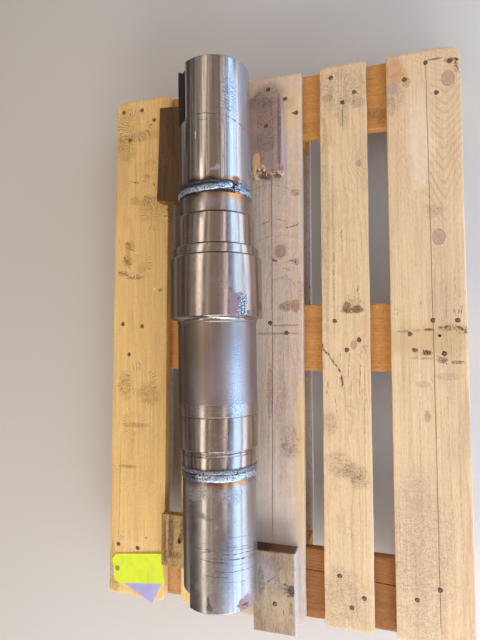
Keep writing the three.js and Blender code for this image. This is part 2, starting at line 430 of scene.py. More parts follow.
def bend_round_knots(shader, flat, radius, knots):
    """The rings' radius, bent round the knots, and the masks of the knots, their hearts, rims and cracks."""
    mask = 0.0
    heart = 0.0
    rim = 0.0
    cracks = 0.0
    for x, y, size in knots:
        centre = row(x, y)
        offset = shader.vector("SUBTRACT", flat, (centre.x, centre.y, 0))
        reach = shader.vector("LENGTH", shader.vector("MULTIPLY", offset, (1, 0.8, 0)))
        share = shader.math("DIVIDE", reach, size * MM)
        wobble = shader.plus(share, shader.times(shader.noise(flat, 160.0, 2.0), 0.35))
        bend = shader.math("EXPONENT", shader.times(share, share, -0.13))
        radius = shader.plus(radius, shader.times(bend, size * 1.6 * MM))
        sides = shader.split(offset)
        for slant in (0.5, -1.6):
            crack = shader.plus(sides[0], shader.times(sides[1], slant),
                                shader.times(shader.noise(flat, 240.0, 2.0), 0.004), -0.002)
            thin = shader.step(shader.math("ABSOLUTE", crack), 0.0011, 0.0003)
            cracks = shader.most(cracks, shader.times(thin, shader.step(share, 0.9, 0.7)))
        mask = shader.most(mask, shader.step(wobble, 1.2, 1.05))
        year = shader.math("FRACT", shader.times(wobble, 4.5))
        heart = shader.most(heart, shader.times(year, shader.step(share, 1.3, 1.2)))
        rim = shader.most(rim, shader.between(wobble, 1.05, 1.2, 0.08))
    return radius, mask, heart, rim, cracks


def fade_rings(shader, ring, place, ends, middle, drop):
    """Rings that lose a share of their strength towards the first of two places in millimetres."""
    fade_from, fade_to = [(end - middle) * MM for end in ends]
    shown = shader.math("MULTIPLY_ADD", shader.step(place, fade_from, fade_to), drop, 1 - drop)
    return shader.times(ring, shown)


def stain_wood(shader, flat, colour, spots):
    """Stains and bruises. Small ones have a finer and harder rim."""
    coarse_flakes = shader.step(shader.noise(shader.stretch(flat, (150, 210, 150)), 1.0, 4.0, 0.75), 0.5, 0.6)
    fine_flakes = shader.step(shader.noise(flat, 340.0, 2.0, 0.6), 0.53, 0.62)
    marked = shader.most(shader.times(coarse_flakes, 0.75), fine_flakes)
    for x, y, reach_x, reach_y, stain, strength, fill in spots:
        centre = row(x, y)
        ragged, ragged_scale, soft = (0.8, 130.0, 0.15) if min(reach_x, reach_y) < 10 else (1.3, 45.0, 0.4)
        mask = shader.spot(flat, centre, (reach_x * MM, reach_y * MM), ragged, ragged_scale, soft)
        share = shader.math("MULTIPLY_ADD", marked, 1 - fill, fill)
        colour = shader.mix(shader.times(mask, share, strength), colour, stain)
    return colour


def slash_wood(shader, flat, colour, slashes):
    """Splits and scratches: short straight lines with a wavering, broken edge."""
    wobble = shader.math("MULTIPLY_ADD", shader.noise(flat, 70.0, 2.0), 0.006, -0.003)
    broken = shader.step(shader.noise(flat, 170.0, 3.0, 0.7), 0.43, 0.55)
    for x, y, to_x, to_y, half_width, stain, strength in slashes:
        start, stop = row(x, y), row(to_x, to_y)
        heading = (stop - start).normalized()
        offset = shader.vector("SUBTRACT", flat, tuple(start))
        ahead = shader.vector("DOT_PRODUCT", offset, (heading.x, heading.y, 0))
        aside = shader.vector("DOT_PRODUCT", offset, (-heading.y, heading.x, 0))
        away = shader.math("ABSOLUTE", shader.plus(aside, wobble))
        mask = shader.times(shader.step(away, 1.2 * half_width * MM, 0.6 * half_width * MM),
                            shader.between(ahead, 0.0, (stop - start).length, 0.0015))
        colour = shader.mix(shader.times(mask, broken, strength), colour, stain)
    return colour


def tread_wood(shader, flat, colour, treads):
    """The bars of a boot's heel, pressed into the wood in a ring: the colour, with a painted highlight along
    the bars' edges, and how deep they are.
    """
    pressed = 0.0
    for x, y, reach, strength in treads:
        centre = row(x, y)
        offset = shader.vector("SUBTRACT", flat, (centre.x, centre.y, 0))
        sides = shader.split(offset)
        around = shader.math("ARCTAN2", sides[0], sides[1])
        level = shader.vector("MULTIPLY", offset, (1, 1, 0))
        distance = shader.math("DIVIDE", shader.vector("LENGTH", level), reach * MM)
        warp = shader.noise(flat, 38.0, 2.0)
        turns = shader.plus(shader.times(around, 4.4), shader.times(warp, 3.6))
        bar = shader.math("ABSOLUTE", shader.plus(shader.math("FRACT", turns), -0.5))
        ringed = shader.between(shader.plus(distance, shader.times(warp, 0.5), -0.25), 0.55, 0.95, 0.1)
        kept = shader.step(shader.noise(flat, 30.0, 2.0, 0.5), 0.42, 0.55)
        tread = shader.times(shader.step(bar, 0.2, 0.1), ringed, kept, strength)
        colour = shader.mix(shader.times(tread, 0.8), colour, TREAD)
        # A painted highlight along the edges of the pressed bars
        edge_highlight = shader.times(shader.between(bar, 0.22, 0.36, 0.06), ringed, kept, strength)
        colour = shader.mix(shader.times(edge_highlight, 0.4), colour, TREAD_HIGHLIGHT)
        pressed = shader.plus(pressed, tread)
    return colour, pressed


def timber(name, tones, pith, seed, across=False, spacing=5.0, lean=(0.0, 0.03), ring_share=0.5,
           knots=(), spots=(), treads=(), grime=0.35, dust=(0, 0), streaks=0.3, wave=1.0, plain=None,
           fade=None, flecks=0.5, slashes=(), cone=None):
    """Sawn softwood: growth rings round a pith line, fibre, knots, stains, dust and saw marks.

    Places and sizes are in millimetres of the pallet's frame.
    tones: early wood, late wood and grime.
    pith, lean: the pith line's place across the grain, and how fast it drifts along the board, in X and Z.
    knots: (x, y, radius).
    spots: (x, y, reach x, reach y, colour, strength, fill), where fill is how much of the spot is solid.
    treads: (x, y, radius, strength) of boot marks.
    plain, fade: the places across and along the board where its rings are faint and where they are full.
    flecks: the strength of fine torn fibre.
    slashes: (x, y, to x, to y, half width, colour, strength) of splits and scratches.
    cone: the place along the board from which the rings taper, and how fast, which draws pointed arches.
    """
    early, late, dark = tones
    bright = (*[min(1.0, 1.5 * part) for part in early[:3]], 1.0)
    shader = Shader(name)
    flat = shader.object
    place = shader.split(flat)
    side, run, height = (place[1], place[0], place[2]) if across else (place[0], place[1], place[2])
    grain = shader.join(side, run, height)
    shifted = shader.stretch(grain, (1, 1, 1), (seed * 0.37, seed * 0.71, seed * 0.13))

    # Growth rings, which bend round the knots
    sway = shader.noise(shader.stretch(shifted, (9, 1.6, 9)), 1.0, 2.0)
    ripple = shader.noise(shader.stretch(shifted, (40, 7, 40)), 1.0, 2.0)
    pith_x, pith_z = (pith[0] - FOOTPRINT_MIDDLE[1 if across else 0]) * MM, pith[1] * MM
    off_x = shader.plus(side, -pith_x, shader.times(run, lean[0]), shader.times(sway, 0.05 * wave))
    off_z = shader.plus(height, -pith_z, shader.times(run, lean[1]))
    radius = shader.math("SQRT", shader.plus(shader.times(off_x, off_x), shader.times(off_z, off_z)))
    if cone:
        taper_from = (cone[0] - FOOTPRINT_MIDDLE[1]) * MM
        tapered = shader.most(shader.plus(run, -taper_from), 0.0)
        radius = shader.plus(radius, shader.times(tapered, tapered, -cone[1]))
    swing = shader.noise(shader.stretch(shifted, (55, 24, 55)), 1.0, 2.0)
    radius = shader.plus(radius, shader.times(ripple, 0.0035 * wave), shader.times(swing, 0.004 * wave))
    radius, knot_mask, knot_heart, knot_rim, knot_cracks = bend_round_knots(shader, flat, radius, knots)
    phase = shader.math("FRACT", shader.math("DIVIDE", radius, spacing * MM))
    late_wood = shader.times(shader.step(phase, 0.5, 0.88), shader.step(phase, 1.0, 0.92))
    fading = shader.noise(shader.stretch(shifted, (14, 3, 14)), 1.0, 2.0)
    ring = shader.times(late_wood, shader.step(fading, 0.2, 0.75), ring_share)
    if plain:
        ring = fade_rings(shader, ring, side, plain, FOOTPRINT_MIDDLE[0], 0.85)
    if fade:
        ring = fade_rings(shader, ring, run, fade, FOOTPRINT_MIDDLE[1], 0.75)

    # Fibre, streaks and broad tone
    fibre = shader.noise(shader.stretch(shifted, (360, 7, 360)), 1.0, 3.0, 0.65)
    streak = shader.noise(shader.stretch(shifted, (110, 2.2, 110)), 1.0, 3.0, 0.55)
    patch = shader.noise(shader.stretch(shifted, (16, 4, 16)), 1.0, 3.0, 0.55)
    fleck = shader.noise(shader.stretch(shifted, (430, 120, 430)), 1.0, 3.0, 0.7)
    colour = shader.mix(ring, early, late)
    colour = shader.mix(shader.times(shader.step(streak, 0.5, 0.72), streaks), colour, late)
    colour = shader.mix(shader.times(shader.step(streak, 0.48, 0.3), streaks, 0.6), colour, bright)
    colour = shader.mix(shader.times(shader.step(patch, 0.5, 0.75), 0.18), colour, dark)
    colour = shader.mix(1.0, colour, shader.grey(shader.math("MULTIPLY_ADD", fibre, 0.5, 0.75)), "MULTIPLY")
    colour = shader.mix(shader.times(shader.step(fleck, 0.54, 0.7), flecks, 0.8), colour, dark)
    colour = shader.mix(shader.times(shader.step(fleck, 0.46, 0.32), flecks, 0.6), colour, bright)

    # Knots, with a dark rim and a cracked heart
    if knots:
        heart = shader.plus(knot_heart, shader.times(shader.noise(flat, 300.0, 2.0), 0.4))
        knot_colour = shader.mix(shader.step(heart, 0.3, 1.0), rgb(196, 170, 150), rgb(160, 132, 114))
        colour = shader.mix(shader.times(knot_mask, 0.7), colour, knot_colour)
        colour = shader.mix(shader.times(knot_rim, 0.28), colour, rgb(116, 90, 70))
        colour = shader.mix(shader.times(knot_cracks, 0.25), colour, rgb(104, 80, 62))

    # Dirt: fine specks where a broad cloud allows them, dust, and the named marks
    cloud = shader.noise(flat, 9.0 + seed % 3, 3.0, 0.6)
    speck = shader.noise(shader.stretch(flat, (260, 200, 260)), 1.0, 4.0, 0.7)
    flake = shader.noise(shader.stretch(shifted, (70, 26, 70)), 1.0, 4.0, 0.75)
    dirty = shader.times(shader.step(cloud, 0.45, 0.7), shader.step(speck, 0.52, 0.66), grime)
    colour = shader.mix(dirty, colour, dark)
    smear = shader.times(shader.step(flake, 0.6, 0.78), grime, 0.8)
    colour = shader.mix(smear, colour, dark)
    low_dust, high_dust = dust
    veil = shader.math("MULTIPLY_ADD", shader.step(cloud, 0.35, 0.7), high_dust - low_dust, low_dust)
    colour = shader.mix(veil, colour, DUST)
    colour = stain_wood(shader, flat, colour, spots)
    colour = slash_wood(shader, flat, colour, slashes)
    colour, pressed = tread_wood(shader, flat, colour, treads)

    # Relief: late wood stands proud, with torn fibre and the saw's marks across the grain
    saw_marks = shader.noise(shader.stretch(shifted, (3, 330, 3)), 1.0, 2.0, 0.6)
    furrow = shader.noise(shader.stretch(shifted, (210, 90, 210)), 1.0, 3.0, 0.6, 0.8)
    relief = shader.plus(shader.times(ring, 0.6), shader.times(fibre, 0.4), shader.times(saw_marks, 0.3),
                         shader.times(furrow, 0.7), shader.times(flake, 0.6), shader.times(knot_mask, -0.4),
                         shader.times(pressed, -0.5))
    rough = shader.math("MULTIPLY_ADD", patch, 0.25, 0.62)
    shader.surface(colour, rough, relief, 0.0016, 0.7, Specular_IOR_Level=0.4)
    return shader.material


# Steel materials

PALE_SPECK = rgb(206, 216, 230)
DARK_SPECK = rgb(36, 36, 44)
# The radius in metres at which the shaft's side is unrolled for its marks
FLAT_RADIUS = 0.08
HEAT_TINT = [(0.0, rgb(52, 44, 40)), (0.12, rgb(92, 62, 42)), (0.3, rgb(160, 118, 78)),
             (0.55, rgb(156, 136, 146)), (1.0, rgb(174, 170, 174))]
HOTTEST_TINT = rgb(208, 138, 66)


def mark(turn, at, around, lengthways, colour, strength=0.8, roughness=0.2, dullness=0.5, boxed=False,
         speckle=0.0, soft=0.08, ragged=0.9):
    """A stained, worn or damaged place on the steel.

    It has its angle from the top in degrees, its place along the shaft and its half sizes in millimetres, its
    strength, how far it is rougher, less metallic and speckled, and how soft and ragged its rim is.
    """
    return (turn, at, around, lengthways, colour, strength, roughness, dullness, boxed, speckle, soft, ragged)


def heat_tint(shader, flat, run, angle, colour, tints):
    """Oxide colours that fade from a weld's toe: dark, brown, bronze and lilac, orange at the hottest."""
    for toe, direction, reach, strength, hottest, spread in tints:
        wave = shader.noise(flat, 26.0, 3.0, 0.6)
        uneven = shader.step(shader.noise(flat, 13.0, 2.0, 0.6), 0.35, 0.65)
        away = shader.times(shader.plus(run, -toe * MM), direction / MM)
        away = shader.plus(away, shader.times(shader.plus(wave, -0.5), -0.9 * reach))
        ramp = shader.node("ShaderNodeValToRGB", {0: shader.math("DIVIDE", away, reach)})
        stops = ramp.color_ramp.elements
        stops[1].position = HEAT_TINT[-1][0]
        for position, tint in HEAT_TINT[1:-1]:
            stops.new(position).color = tint
        stops[0].color = HEAT_TINT[0][1]
        stops[-1].color = HEAT_TINT[-1][1]
        mask = shader.times(shader.step(away, reach, reach * 0.2), strength,
                            shader.math("MULTIPLY_ADD", uneven, 0.6, 0.4))
        colour = shader.mix(mask, colour, ramp.outputs[0])
        from_hottest = shader.math("ABSOLUTE", shader.plus(angle, -math.radians(hottest)))
        hot = shader.times(shader.step(from_hottest, math.radians(spread), math.radians(spread) * 0.2),
                           shader.step(away, reach * 0.7, reach * 0.1), shader.step(wave, 0.3, 0.5), strength)
        colour = shader.mix(hot, colour, HOTTEST_TINT)
    return colour


def steel(name, tone, base_roughness, zones=(), tints=(), marks=(), scratches=(), seed=0.0,
          streaks=0.16, haze=0.25, blotches=0.0, brownness=0.22, facets=0.05, scatter=0.3,
          daylight_sheen=0.3, daylight_sheen_tone=rgb(164, 164, 182)):
    """Turned steel round the shaft's axis, in the shaft's own frame.

    Places are millimetres from the near end, angles are degrees from the top.
    zones: (from, to, roughness, colour factor).
    tints: (weld toe, direction, reach, strength, hottest angle, spread) of heat tint.
    scratches: (place, rise, from angle, to angle, width, strength).
    facets: the height of the lengthways waviness in millimetres.
    scatter: the share of fine rough grain.
    daylight_sheen: how strongly the side towards the daylight is tinted with a painted cool sheen and dulled.
    """
    shader = Shader(name)
    place = shader.split(shader.object)
    angle = shader.math("ARCTAN2", place[0], place[2])
    flat = shader.join(shader.times(angle, FLAT_RADIUS), place[1], 0.0)
    shifted = shader.stretch(shader.object, (1, 1, 1), (seed, seed * 0.7, 0))

    lengthwise = shader.noise(shader.stretch(shifted, (170, 1.3, 170)), 1.0, 3.0, 0.6)
    fine_lengthwise = shader.noise(shader.stretch(shifted, (420, 4, 420)), 1.0, 2.0, 0.6)
    lathe_lines = shader.noise(shader.stretch(shifted, (6, 1800, 6)), 1.0, 2.0, 0.7)
    cloud = shader.noise(shifted, 14.0, 4.0, 0.6)
    blotch = shader.noise(shader.stretch(shifted, (60, 45, 60)), 1.0, 4.0, 0.65)
    grain = shader.noise(shader.stretch(shifted, (600, 420, 600)), 1.0, 2.0, 0.6)
    fine_grain = shader.noise(shader.stretch(shifted, (2600, 1400, 2600)), 1.0, 1.0, 0.5)
    speckled = shader.noise(shader.stretch(flat, (340, 340, 1)), 1.0, 2.0, 0.6)

    rough = base_roughness
    dull = 0.0
    factor = 1.0
    for low, high, zone_roughness, zone_factor in zones:
        mask = shader.between(place[1], low * MM, high * MM, 0.0004)
        rough = shader.math("MULTIPLY_ADD", mask, zone_roughness - base_roughness, rough)
        factor = shader.math("MULTIPLY_ADD", mask, zone_factor - 1.0, factor)
    uneven = shader.plus(lengthwise, shader.times(fine_lengthwise, 0.7), -0.85)
    value = shader.times(factor, shader.math("MULTIPLY_ADD", uneven, streaks * 2, 1.0))
    colour = shader.mix(1.0, tone, shader.grey(value), "MULTIPLY")
    hazy = shader.times(shader.step(cloud, 0.42, 0.72), haze)
    colour = shader.mix(shader.times(hazy, 0.5), colour, rgb(176, 172, 182))
    rusty = shader.noise(shader.stretch(shifted, (20, 5, 20), (3, 1, 2)), 1.0, 3.0, 0.6)
    colour = shader.mix(shader.times(shader.step(rusty, 0.5, 0.72), brownness), colour, rgb(128, 104, 82))
    if blotches:
        spots_dark = shader.times(shader.step(blotch, 0.56, 0.7), blotches)
        colour = shader.mix(spots_dark, colour, rgb(92, 86, 82))
        fine_spots = shader.times(shader.step(grain, 0.62, 0.7), shader.step(cloud, 0.4, 0.6), blotches)
        colour = shader.mix(fine_spots, colour, rgb(66, 62, 62))
        pale_spots = shader.times(shader.step(blotch, 0.4, 0.28), blotches)
        colour = shader.mix(shader.times(pale_spots, 0.6), colour, rgb(196, 192, 192))
        rough = shader.plus(rough, shader.times(pale_spots, 0.2))
    colour = heat_tint(shader, flat, place[1], angle, colour, tints)

    # The end faces and lathe centres stay clear of what marks the turned sides
    from_axis = shader.math("SQRT", shader.plus(shader.times(place[0], place[0]),
                                                shader.times(place[2], place[2])))
    on_side = shader.times(shader.step(place[1], 0.2 * MM, MM),
                           shader.step(place[1], (SHAFT_END - 0.2) * MM, (SHAFT_END - 1) * MM),
                           shader.step(from_axis, 20 * MM, 30 * MM))

    # Painted shade on the side away from the daylight: a dark colour, with more roughness and less metal that
    # also dim its reflection. A painted cool sheen on the side towards the daylight, which also dulls it
    shaded_side = shader.times(shader.between(angle, math.radians(-112), math.radians(-40), 0.14), on_side)
    colour = shader.mix(shader.times(shaded_side, 0.9), colour, rgb(44, 38, 36))
    rough = shader.plus(rough, shader.times(shaded_side, 0.35))
    dull = shader.most(dull, shader.times(shaded_side, 0.85))
    sheen_side = shader.times(shader.between(angle, math.radians(60), math.radians(118), 0.2), on_side)
    colour = shader.mix(shader.times(sheen_side, daylight_sheen), colour, daylight_sheen_tone)
    dull = shader.most(dull, shader.times(sheen_side, daylight_sheen - 0.3))

    for turn, at, around, lengthways, tint, strength, rougher, duller, boxed, speckle, soft, ragged in marks:
        centre = (math.radians(turn) * FLAT_RADIUS, at * MM)
        shape = shader.spot(flat, centre, (around * MM, lengthways * MM), ragged, 190.0, soft, boxed)
        mask = shader.times(shape, on_side, strength)
        if speckle:
            tint = shader.mix(shader.times(shader.step(speckled, 0.51, 0.55), speckle), tint, PALE_SPECK)
            tint = shader.mix(shader.times(shader.step(speckled, 0.5, 0.46), speckle), tint, DARK_SPECK)
        colour = shader.mix(mask, colour, tint)
        rough = shader.plus(rough, shader.times(mask, rougher))
        dull = shader.most(dull, shader.times(mask, duller))
    for at, rise, low, high, width, strength in scratches:
        line = shader.plus(place[1], shader.times(angle, -rise * MM), -at * MM,
                           shader.times(shader.noise(flat, 30.0, 2.0), 0.006))
        thin = shader.step(shader.math("ABSOLUTE", line), width * MM, width * 0.3 * MM)
        span = shader.between(angle, math.radians(low), math.radians(high), 0.06)
        broken = shader.step(shader.noise(flat, 130.0, 3.0, 0.7), 0.38, 0.6)
        mask = shader.times(thin, span, broken, strength)
        colour = shader.mix(mask, colour, rgb(60, 56, 58))
        dull = shader.most(dull, shader.times(mask, 0.5))

    fine_rough = shader.times(shader.step(fine_grain, 0.46, 0.58), scatter)
    rough = shader.plus(rough, shader.times(hazy, 0.25), shader.times(shader.plus(lathe_lines, -0.5), 0.08),
                        fine_rough)
    relief = shader.plus(shader.times(lathe_lines, 0.004), shader.times(grain, 0.001),
                         shader.times(lengthwise, facets), shader.times(fine_lengthwise, facets * 0.3))
    tangent = shader.node("ShaderNodeTangent", direction_type="RADIAL", axis="Y").outputs[0]
    metal = shader.math("SUBTRACT", 1.0, dull)
    shader.surface(colour, rough, relief, MM, 1.0, Metallic=metal, Anisotropic=0.4, Tangent=tangent,
                   Specular_IOR_Level=0.15)
    return shader.material


def bead_steel(name, tone):
    """Bare weld metal: silver blue on the crests, dark oxide in the troughs, with scaly ripples."""
    shader = Shader(name)
    crest = shader.node("ShaderNodeAttribute", attribute_name="crest").outputs["Fac"]
    scorch = shader.node("ShaderNodeAttribute", attribute_name="scorch").outputs["Fac"]
    shine = shader.node("ShaderNodeAttribute", attribute_name="shine").outputs["Fac"]
    scale = shader.noise(shader.object, 420.0, 2.0, 0.6)
    cloud = shader.noise(shader.object, 170.0, 3.0, 0.65)
    ridge = shader.mix(shine, rgb(84, 78, 78), tone)
    colour = shader.mix(shader.step(crest, 0.2, 0.7), rgb(30, 26, 25), ridge)
    colour = shader.mix(shader.times(shader.step(cloud, 0.5, 0.58), 0.75), colour, rgb(58, 66, 80))
    # Painted glints: near-white flecks on the shiny crests
    colour = shader.mix(shader.times(shader.step(scale, 0.52, 0.6), shine, 0.8), colour, rgb(232, 242, 252))
    colour = shader.mix(shader.times(shader.step(scale, 0.46, 0.38), 0.6), colour, rgb(40, 38, 44))
    colour = shader.mix(scorch, colour, rgb(150, 78, 32))
    rough = shader.plus(0.36, shader.times(shader.step(crest, 0.8, 0.2), 0.25), shader.times(scale, 0.1))
    relief = shader.plus(shader.times(scale, 0.2), shader.times(cloud, 0.3))
    shader.surface(colour, rough, relief, MM, 1.0, Metallic=0.85)
    return shader.material


STEEL_TONE = rgb(168, 160, 155)
BARREL_TONE = rgb(172, 168, 166)
PINK_GREY = rgb(140, 116, 118)
DARK_OIL = rgb(74, 68, 66)
LILAC = rgb(186, 178, 196)
# A pale colour for painted reflections of the daylight, used in speckled marks that look like worn steel
WHITE_SHEEN = rgb(206, 214, 226)
GREY_WEAR = rgb(110, 112, 124)
CRACK = rgb(84, 50, 40)
OXIDE = rgb(60, 52, 48)

core_steel = steel(
    "turned_steel_core", STEEL_TONE, 0.13,
    zones=[(BODY, FILLET + 4, 0.3, 0.72), (BAND, BODY, 0.17, 1.0), (FAR_NECK, FAR_WELD, 0.2, 0.92),
           (NEAR_NECK, NEAR_JOURNAL, 0.13, 1.0)],
    tints=[(FAR_WELD, -1, 22, 0.85, 52, 34), (NEAR_NECK, 1, 5, 0.5, 200, 10)],
    marks=[mark(42, 582, 11, 22, PINK_GREY, 0.95, 0.3, 0.6, True),
           mark(51, 578, 9, 22, GREY_WEAR, 0.9, 0.2, 0.4, True, 0.75, 0.08, 1.2),
           mark(60, 566, 4, 5, DARK_OIL, 0.7), mark(20, 598, 12, 2, rgb(96, 84, 76), 0.35, 0.1, 0.3),
           # The white mark at 43 degrees and the pale blue one at 50 degrees are painted reflections of the
           # daylight, speckled like worn steel
           mark(43, 432, 15, 46, WHITE_SHEEN, 0.7, 0.0, 0.25, False, 0.3, 0.9, 1.0),
           mark(50, 490, 10, 20, rgb(150, 166, 196), 0.4, 0.0, 0.2, False, 0.7, 0.8, 1.0),
           mark(8, 440, 34, 50, rgb(160, 148, 166), 0.4, 0.1, 0.2, False, 0.0, 0.8),
           mark(52, 480, 22, 74, rgb(132, 130, 150), 0.35, 0.0, 0.1, False, 0.0, 0.7),
           mark(-20, 500, 36, 40, rgb(112, 92, 70), 0.4, 0.1, 0.2, False, 0.0, 0.8),
           mark(-3, 478, 14, 90, rgb(112, 96, 82), 0.6, 0.0, 0.1, False, 0.0, 0.6),
           mark(-36, 440, 12, 120, rgb(92, 74, 60), 0.6, 0.0, 0.2, False, 0.0, 0.6),
           mark(46, 380, 20, 14, rgb(176, 190, 214), 0.6, 0.1, 0.25, False, 0.5, 0.8, 1.0),
           mark(10, 786, 16, 10, rgb(170, 150, 176), 0.5, 0.1, 0.2, False, 0.0, 0.5)],
    scratches=[(430, 3, 38, 62, 0.8, 0.4), (455, -8, 34, 58, 0.7, 0.4), (372, 2, -60, -20, 0.6, 0.5),
               (376, -5, 30, 55, 0.8, 0.5), (388.5, 0, -70, 30, 0.9, 0.8), (365.5, 0, -70, 60, 0.9, 0.9),
               (735, 20, -20, -8, 0.8, 0.5), (728, 30, -30, -20, 0.8, 0.4), (290, 0, -85, 20, 0.9, 0.9),
               (295, 0, -60, 16, 0.9, 0.9), (298.5, 0, -90, 60, 1.0, 0.8)],
    seed=1.3, haze=0.3, brownness=0.35, facets=0.05, scatter=0.08)
near_steel = steel(
    "turned_steel_near_barrel", BARREL_TONE, 0.17, tints=[(NEAR_BARREL_END, -1, 18, 0.8, 46, 34)],
    marks=[mark(62, 12, 25, 16, rgb(152, 112, 108), 1.0, 0.35, 0.9, False, 0.2, 0.05, 1.0),
           mark(58, 12, 9, 2.5, rgb(96, 44, 34), 1.0, 0.3, 0.9, False, 0.0, 0.2, 1.6),
           mark(61, 8, 3, 3, CRACK, 0.8, 0.3, 0.9),
           mark(1, 26, 3, 10, OXIDE, 0.75, 0.25, 0.7, False, 0.0, 0.3, 2.0),
           mark(3, 13, 7, 7, OXIDE, 0.75, 0.25, 0.7, False, 0.0, 0.3, 2.0),
           mark(-12, 180, 15, 5, OXIDE, 0.6, 0.1, 0.6, False, 0.3, 0.6, 2.2),
           mark(4, 174, 10, 3, OXIDE, 0.45, 0.1, 0.4, False, 0.3, 0.6, 2.2),
           # A painted reflection of the daylight, speckled like worn steel
           mark(-26, 218, 20, 14, WHITE_SHEEN, 0.4, 0.2, 0.4, False, 0.8, 0.5, 1.8),
           mark(-6, 222, 14, 10, rgb(150, 138, 124), 0.5, 0.2, 0.4, False, 0.6, 0.5, 1.8),
           mark(34, 216, 24, 12, rgb(150, 154, 168), 0.4, 0.2, 0.4, False, 0.7, 0.5, 1.8),
           mark(-40, 190, 12, 34, rgb(96, 84, 70), 0.4, 0.15, 0.4, False, 0.4, 0.6),
           mark(-28, 108, 10, 14, DARK_OIL, 0.4, 0.15, 0.4, False, 0.5, 0.5, 1.6),
           mark(66, 70, 16, 60, rgb(184, 186, 204), 0.5, 0.2, 0.4, False, 0.0, 0.8)],
    scratches=[(118, 12, -28, 10, 1.6, 0.9), (108, -8, 6, 84, 1.3, 0.9), (101, -8, -12, 30, 1.5, 0.9),
               (118, -9, 14, 90, 1.2, 0.9), (126, -10, 20, 92, 1.2, 0.8), (84, -6, 14, 78, 1.2, 0.85),
               (74, -5, -2, 30, 1.2, 0.85), (134, 14, -50, 0, 1.0, 0.6), (150, -10, 30, 86, 0.9, 0.6),
               (112, -14, 24, 84, 1.1, 0.85), (122, 2, -25, 5, 1.1, 0.85), (96, -7, 20, 66, 0.9, 0.7),
               (132, -11, 26, 84, 0.9, 0.7), (64, -5, 24, 62, 0.9, 0.6)],
    seed=4.1, streaks=0.25, haze=0.4, blotches=0.3, brownness=0.12, facets=0.12, scatter=0.14,
    daylight_sheen=0.5, daylight_sheen_tone=rgb(150, 152, 160))
far_steel = steel(
    "ground_steel_far_barrel", BARREL_TONE, 0.13, tints=[(FAR_BARREL, 1, 13, 0.85, 50, 20)],
    # Painted shade fills the keyway; beside it, a painted highlight lies along the keyway's near edge, which
    # is also rougher
    marks=[mark(-46, 1027, 20, 64, rgb(34, 28, 26), 0.9, 0.4, 0.9, True, 0.0, 0.05, 0.2),
           mark(-29, 1027, 2.9, 62, LILAC, 0.9, 0.3, 0.5, True),
           mark(-25.8, 1025, 1.5, 64, rgb(100, 56, 36), 0.8, 0.1, 0.6, True),
           mark(-10, 925, 1.4, 9, rgb(236, 232, 226), 0.8, 0.3, 0.3),
           mark(18, 852, 9, 3, LILAC, 0.6, 0.2, 0.4, False, 0.0, 0.5, 1.4),
           mark(24, 856, 5, 5, LILAC, 0.6, 0.2, 0.4, False, 0.0, 0.5, 1.4),
           mark(46, 1005, 16, 44, rgb(140, 154, 190), 0.5, 0.1, 0.2, False, 0.8, 0.6, 1.2),
           mark(54, 836, 9, 5, OXIDE, 0.7, 0.2, 0.4, False, 0.0, 0.4, 1.2)],
    scratches=[(978, -20, 34, 84, 1.7, 1.0), (970, -8, -10, 30, 1.2, 0.9), (957, -4, -4, 32, 1.0, 0.7),
               (984, -8, 24, 48, 1.2, 0.8), (1030, -24, 32, 68, 0.9, 0.6), (1038, -24, 34, 70, 0.9, 0.6),
               (1047, -24, 32, 66, 0.9, 0.6), (1022, -24, 36, 62, 0.9, 0.6), (1014, -24, 38, 64, 0.9, 0.6),
               (1006, -24, 36, 62, 0.9, 0.6), (1055, -24, 34, 60, 0.9, 0.6), (998, -24, 38, 60, 0.9, 0.6)],
    seed=7.7, streaks=0.4, haze=0.25, brownness=0.3, facets=0.3, scatter=0.05, daylight_sheen=0.6,
    daylight_sheen_tone=rgb(176, 180, 200))
near_bead = bead_steel("weld_bead_near", rgb(176, 186, 204))
far_bead = bead_steel("weld_bead_far", rgb(160, 184, 208))


# The shaft, in its own frame: the axis is local Y, from the near end

shaft_place = Matrix.Translation(row(*SHAFT_NEAR_END, AXIS_HEIGHT)) @ Matrix.Rotation(SHAFT_TURN, 4, "Z")

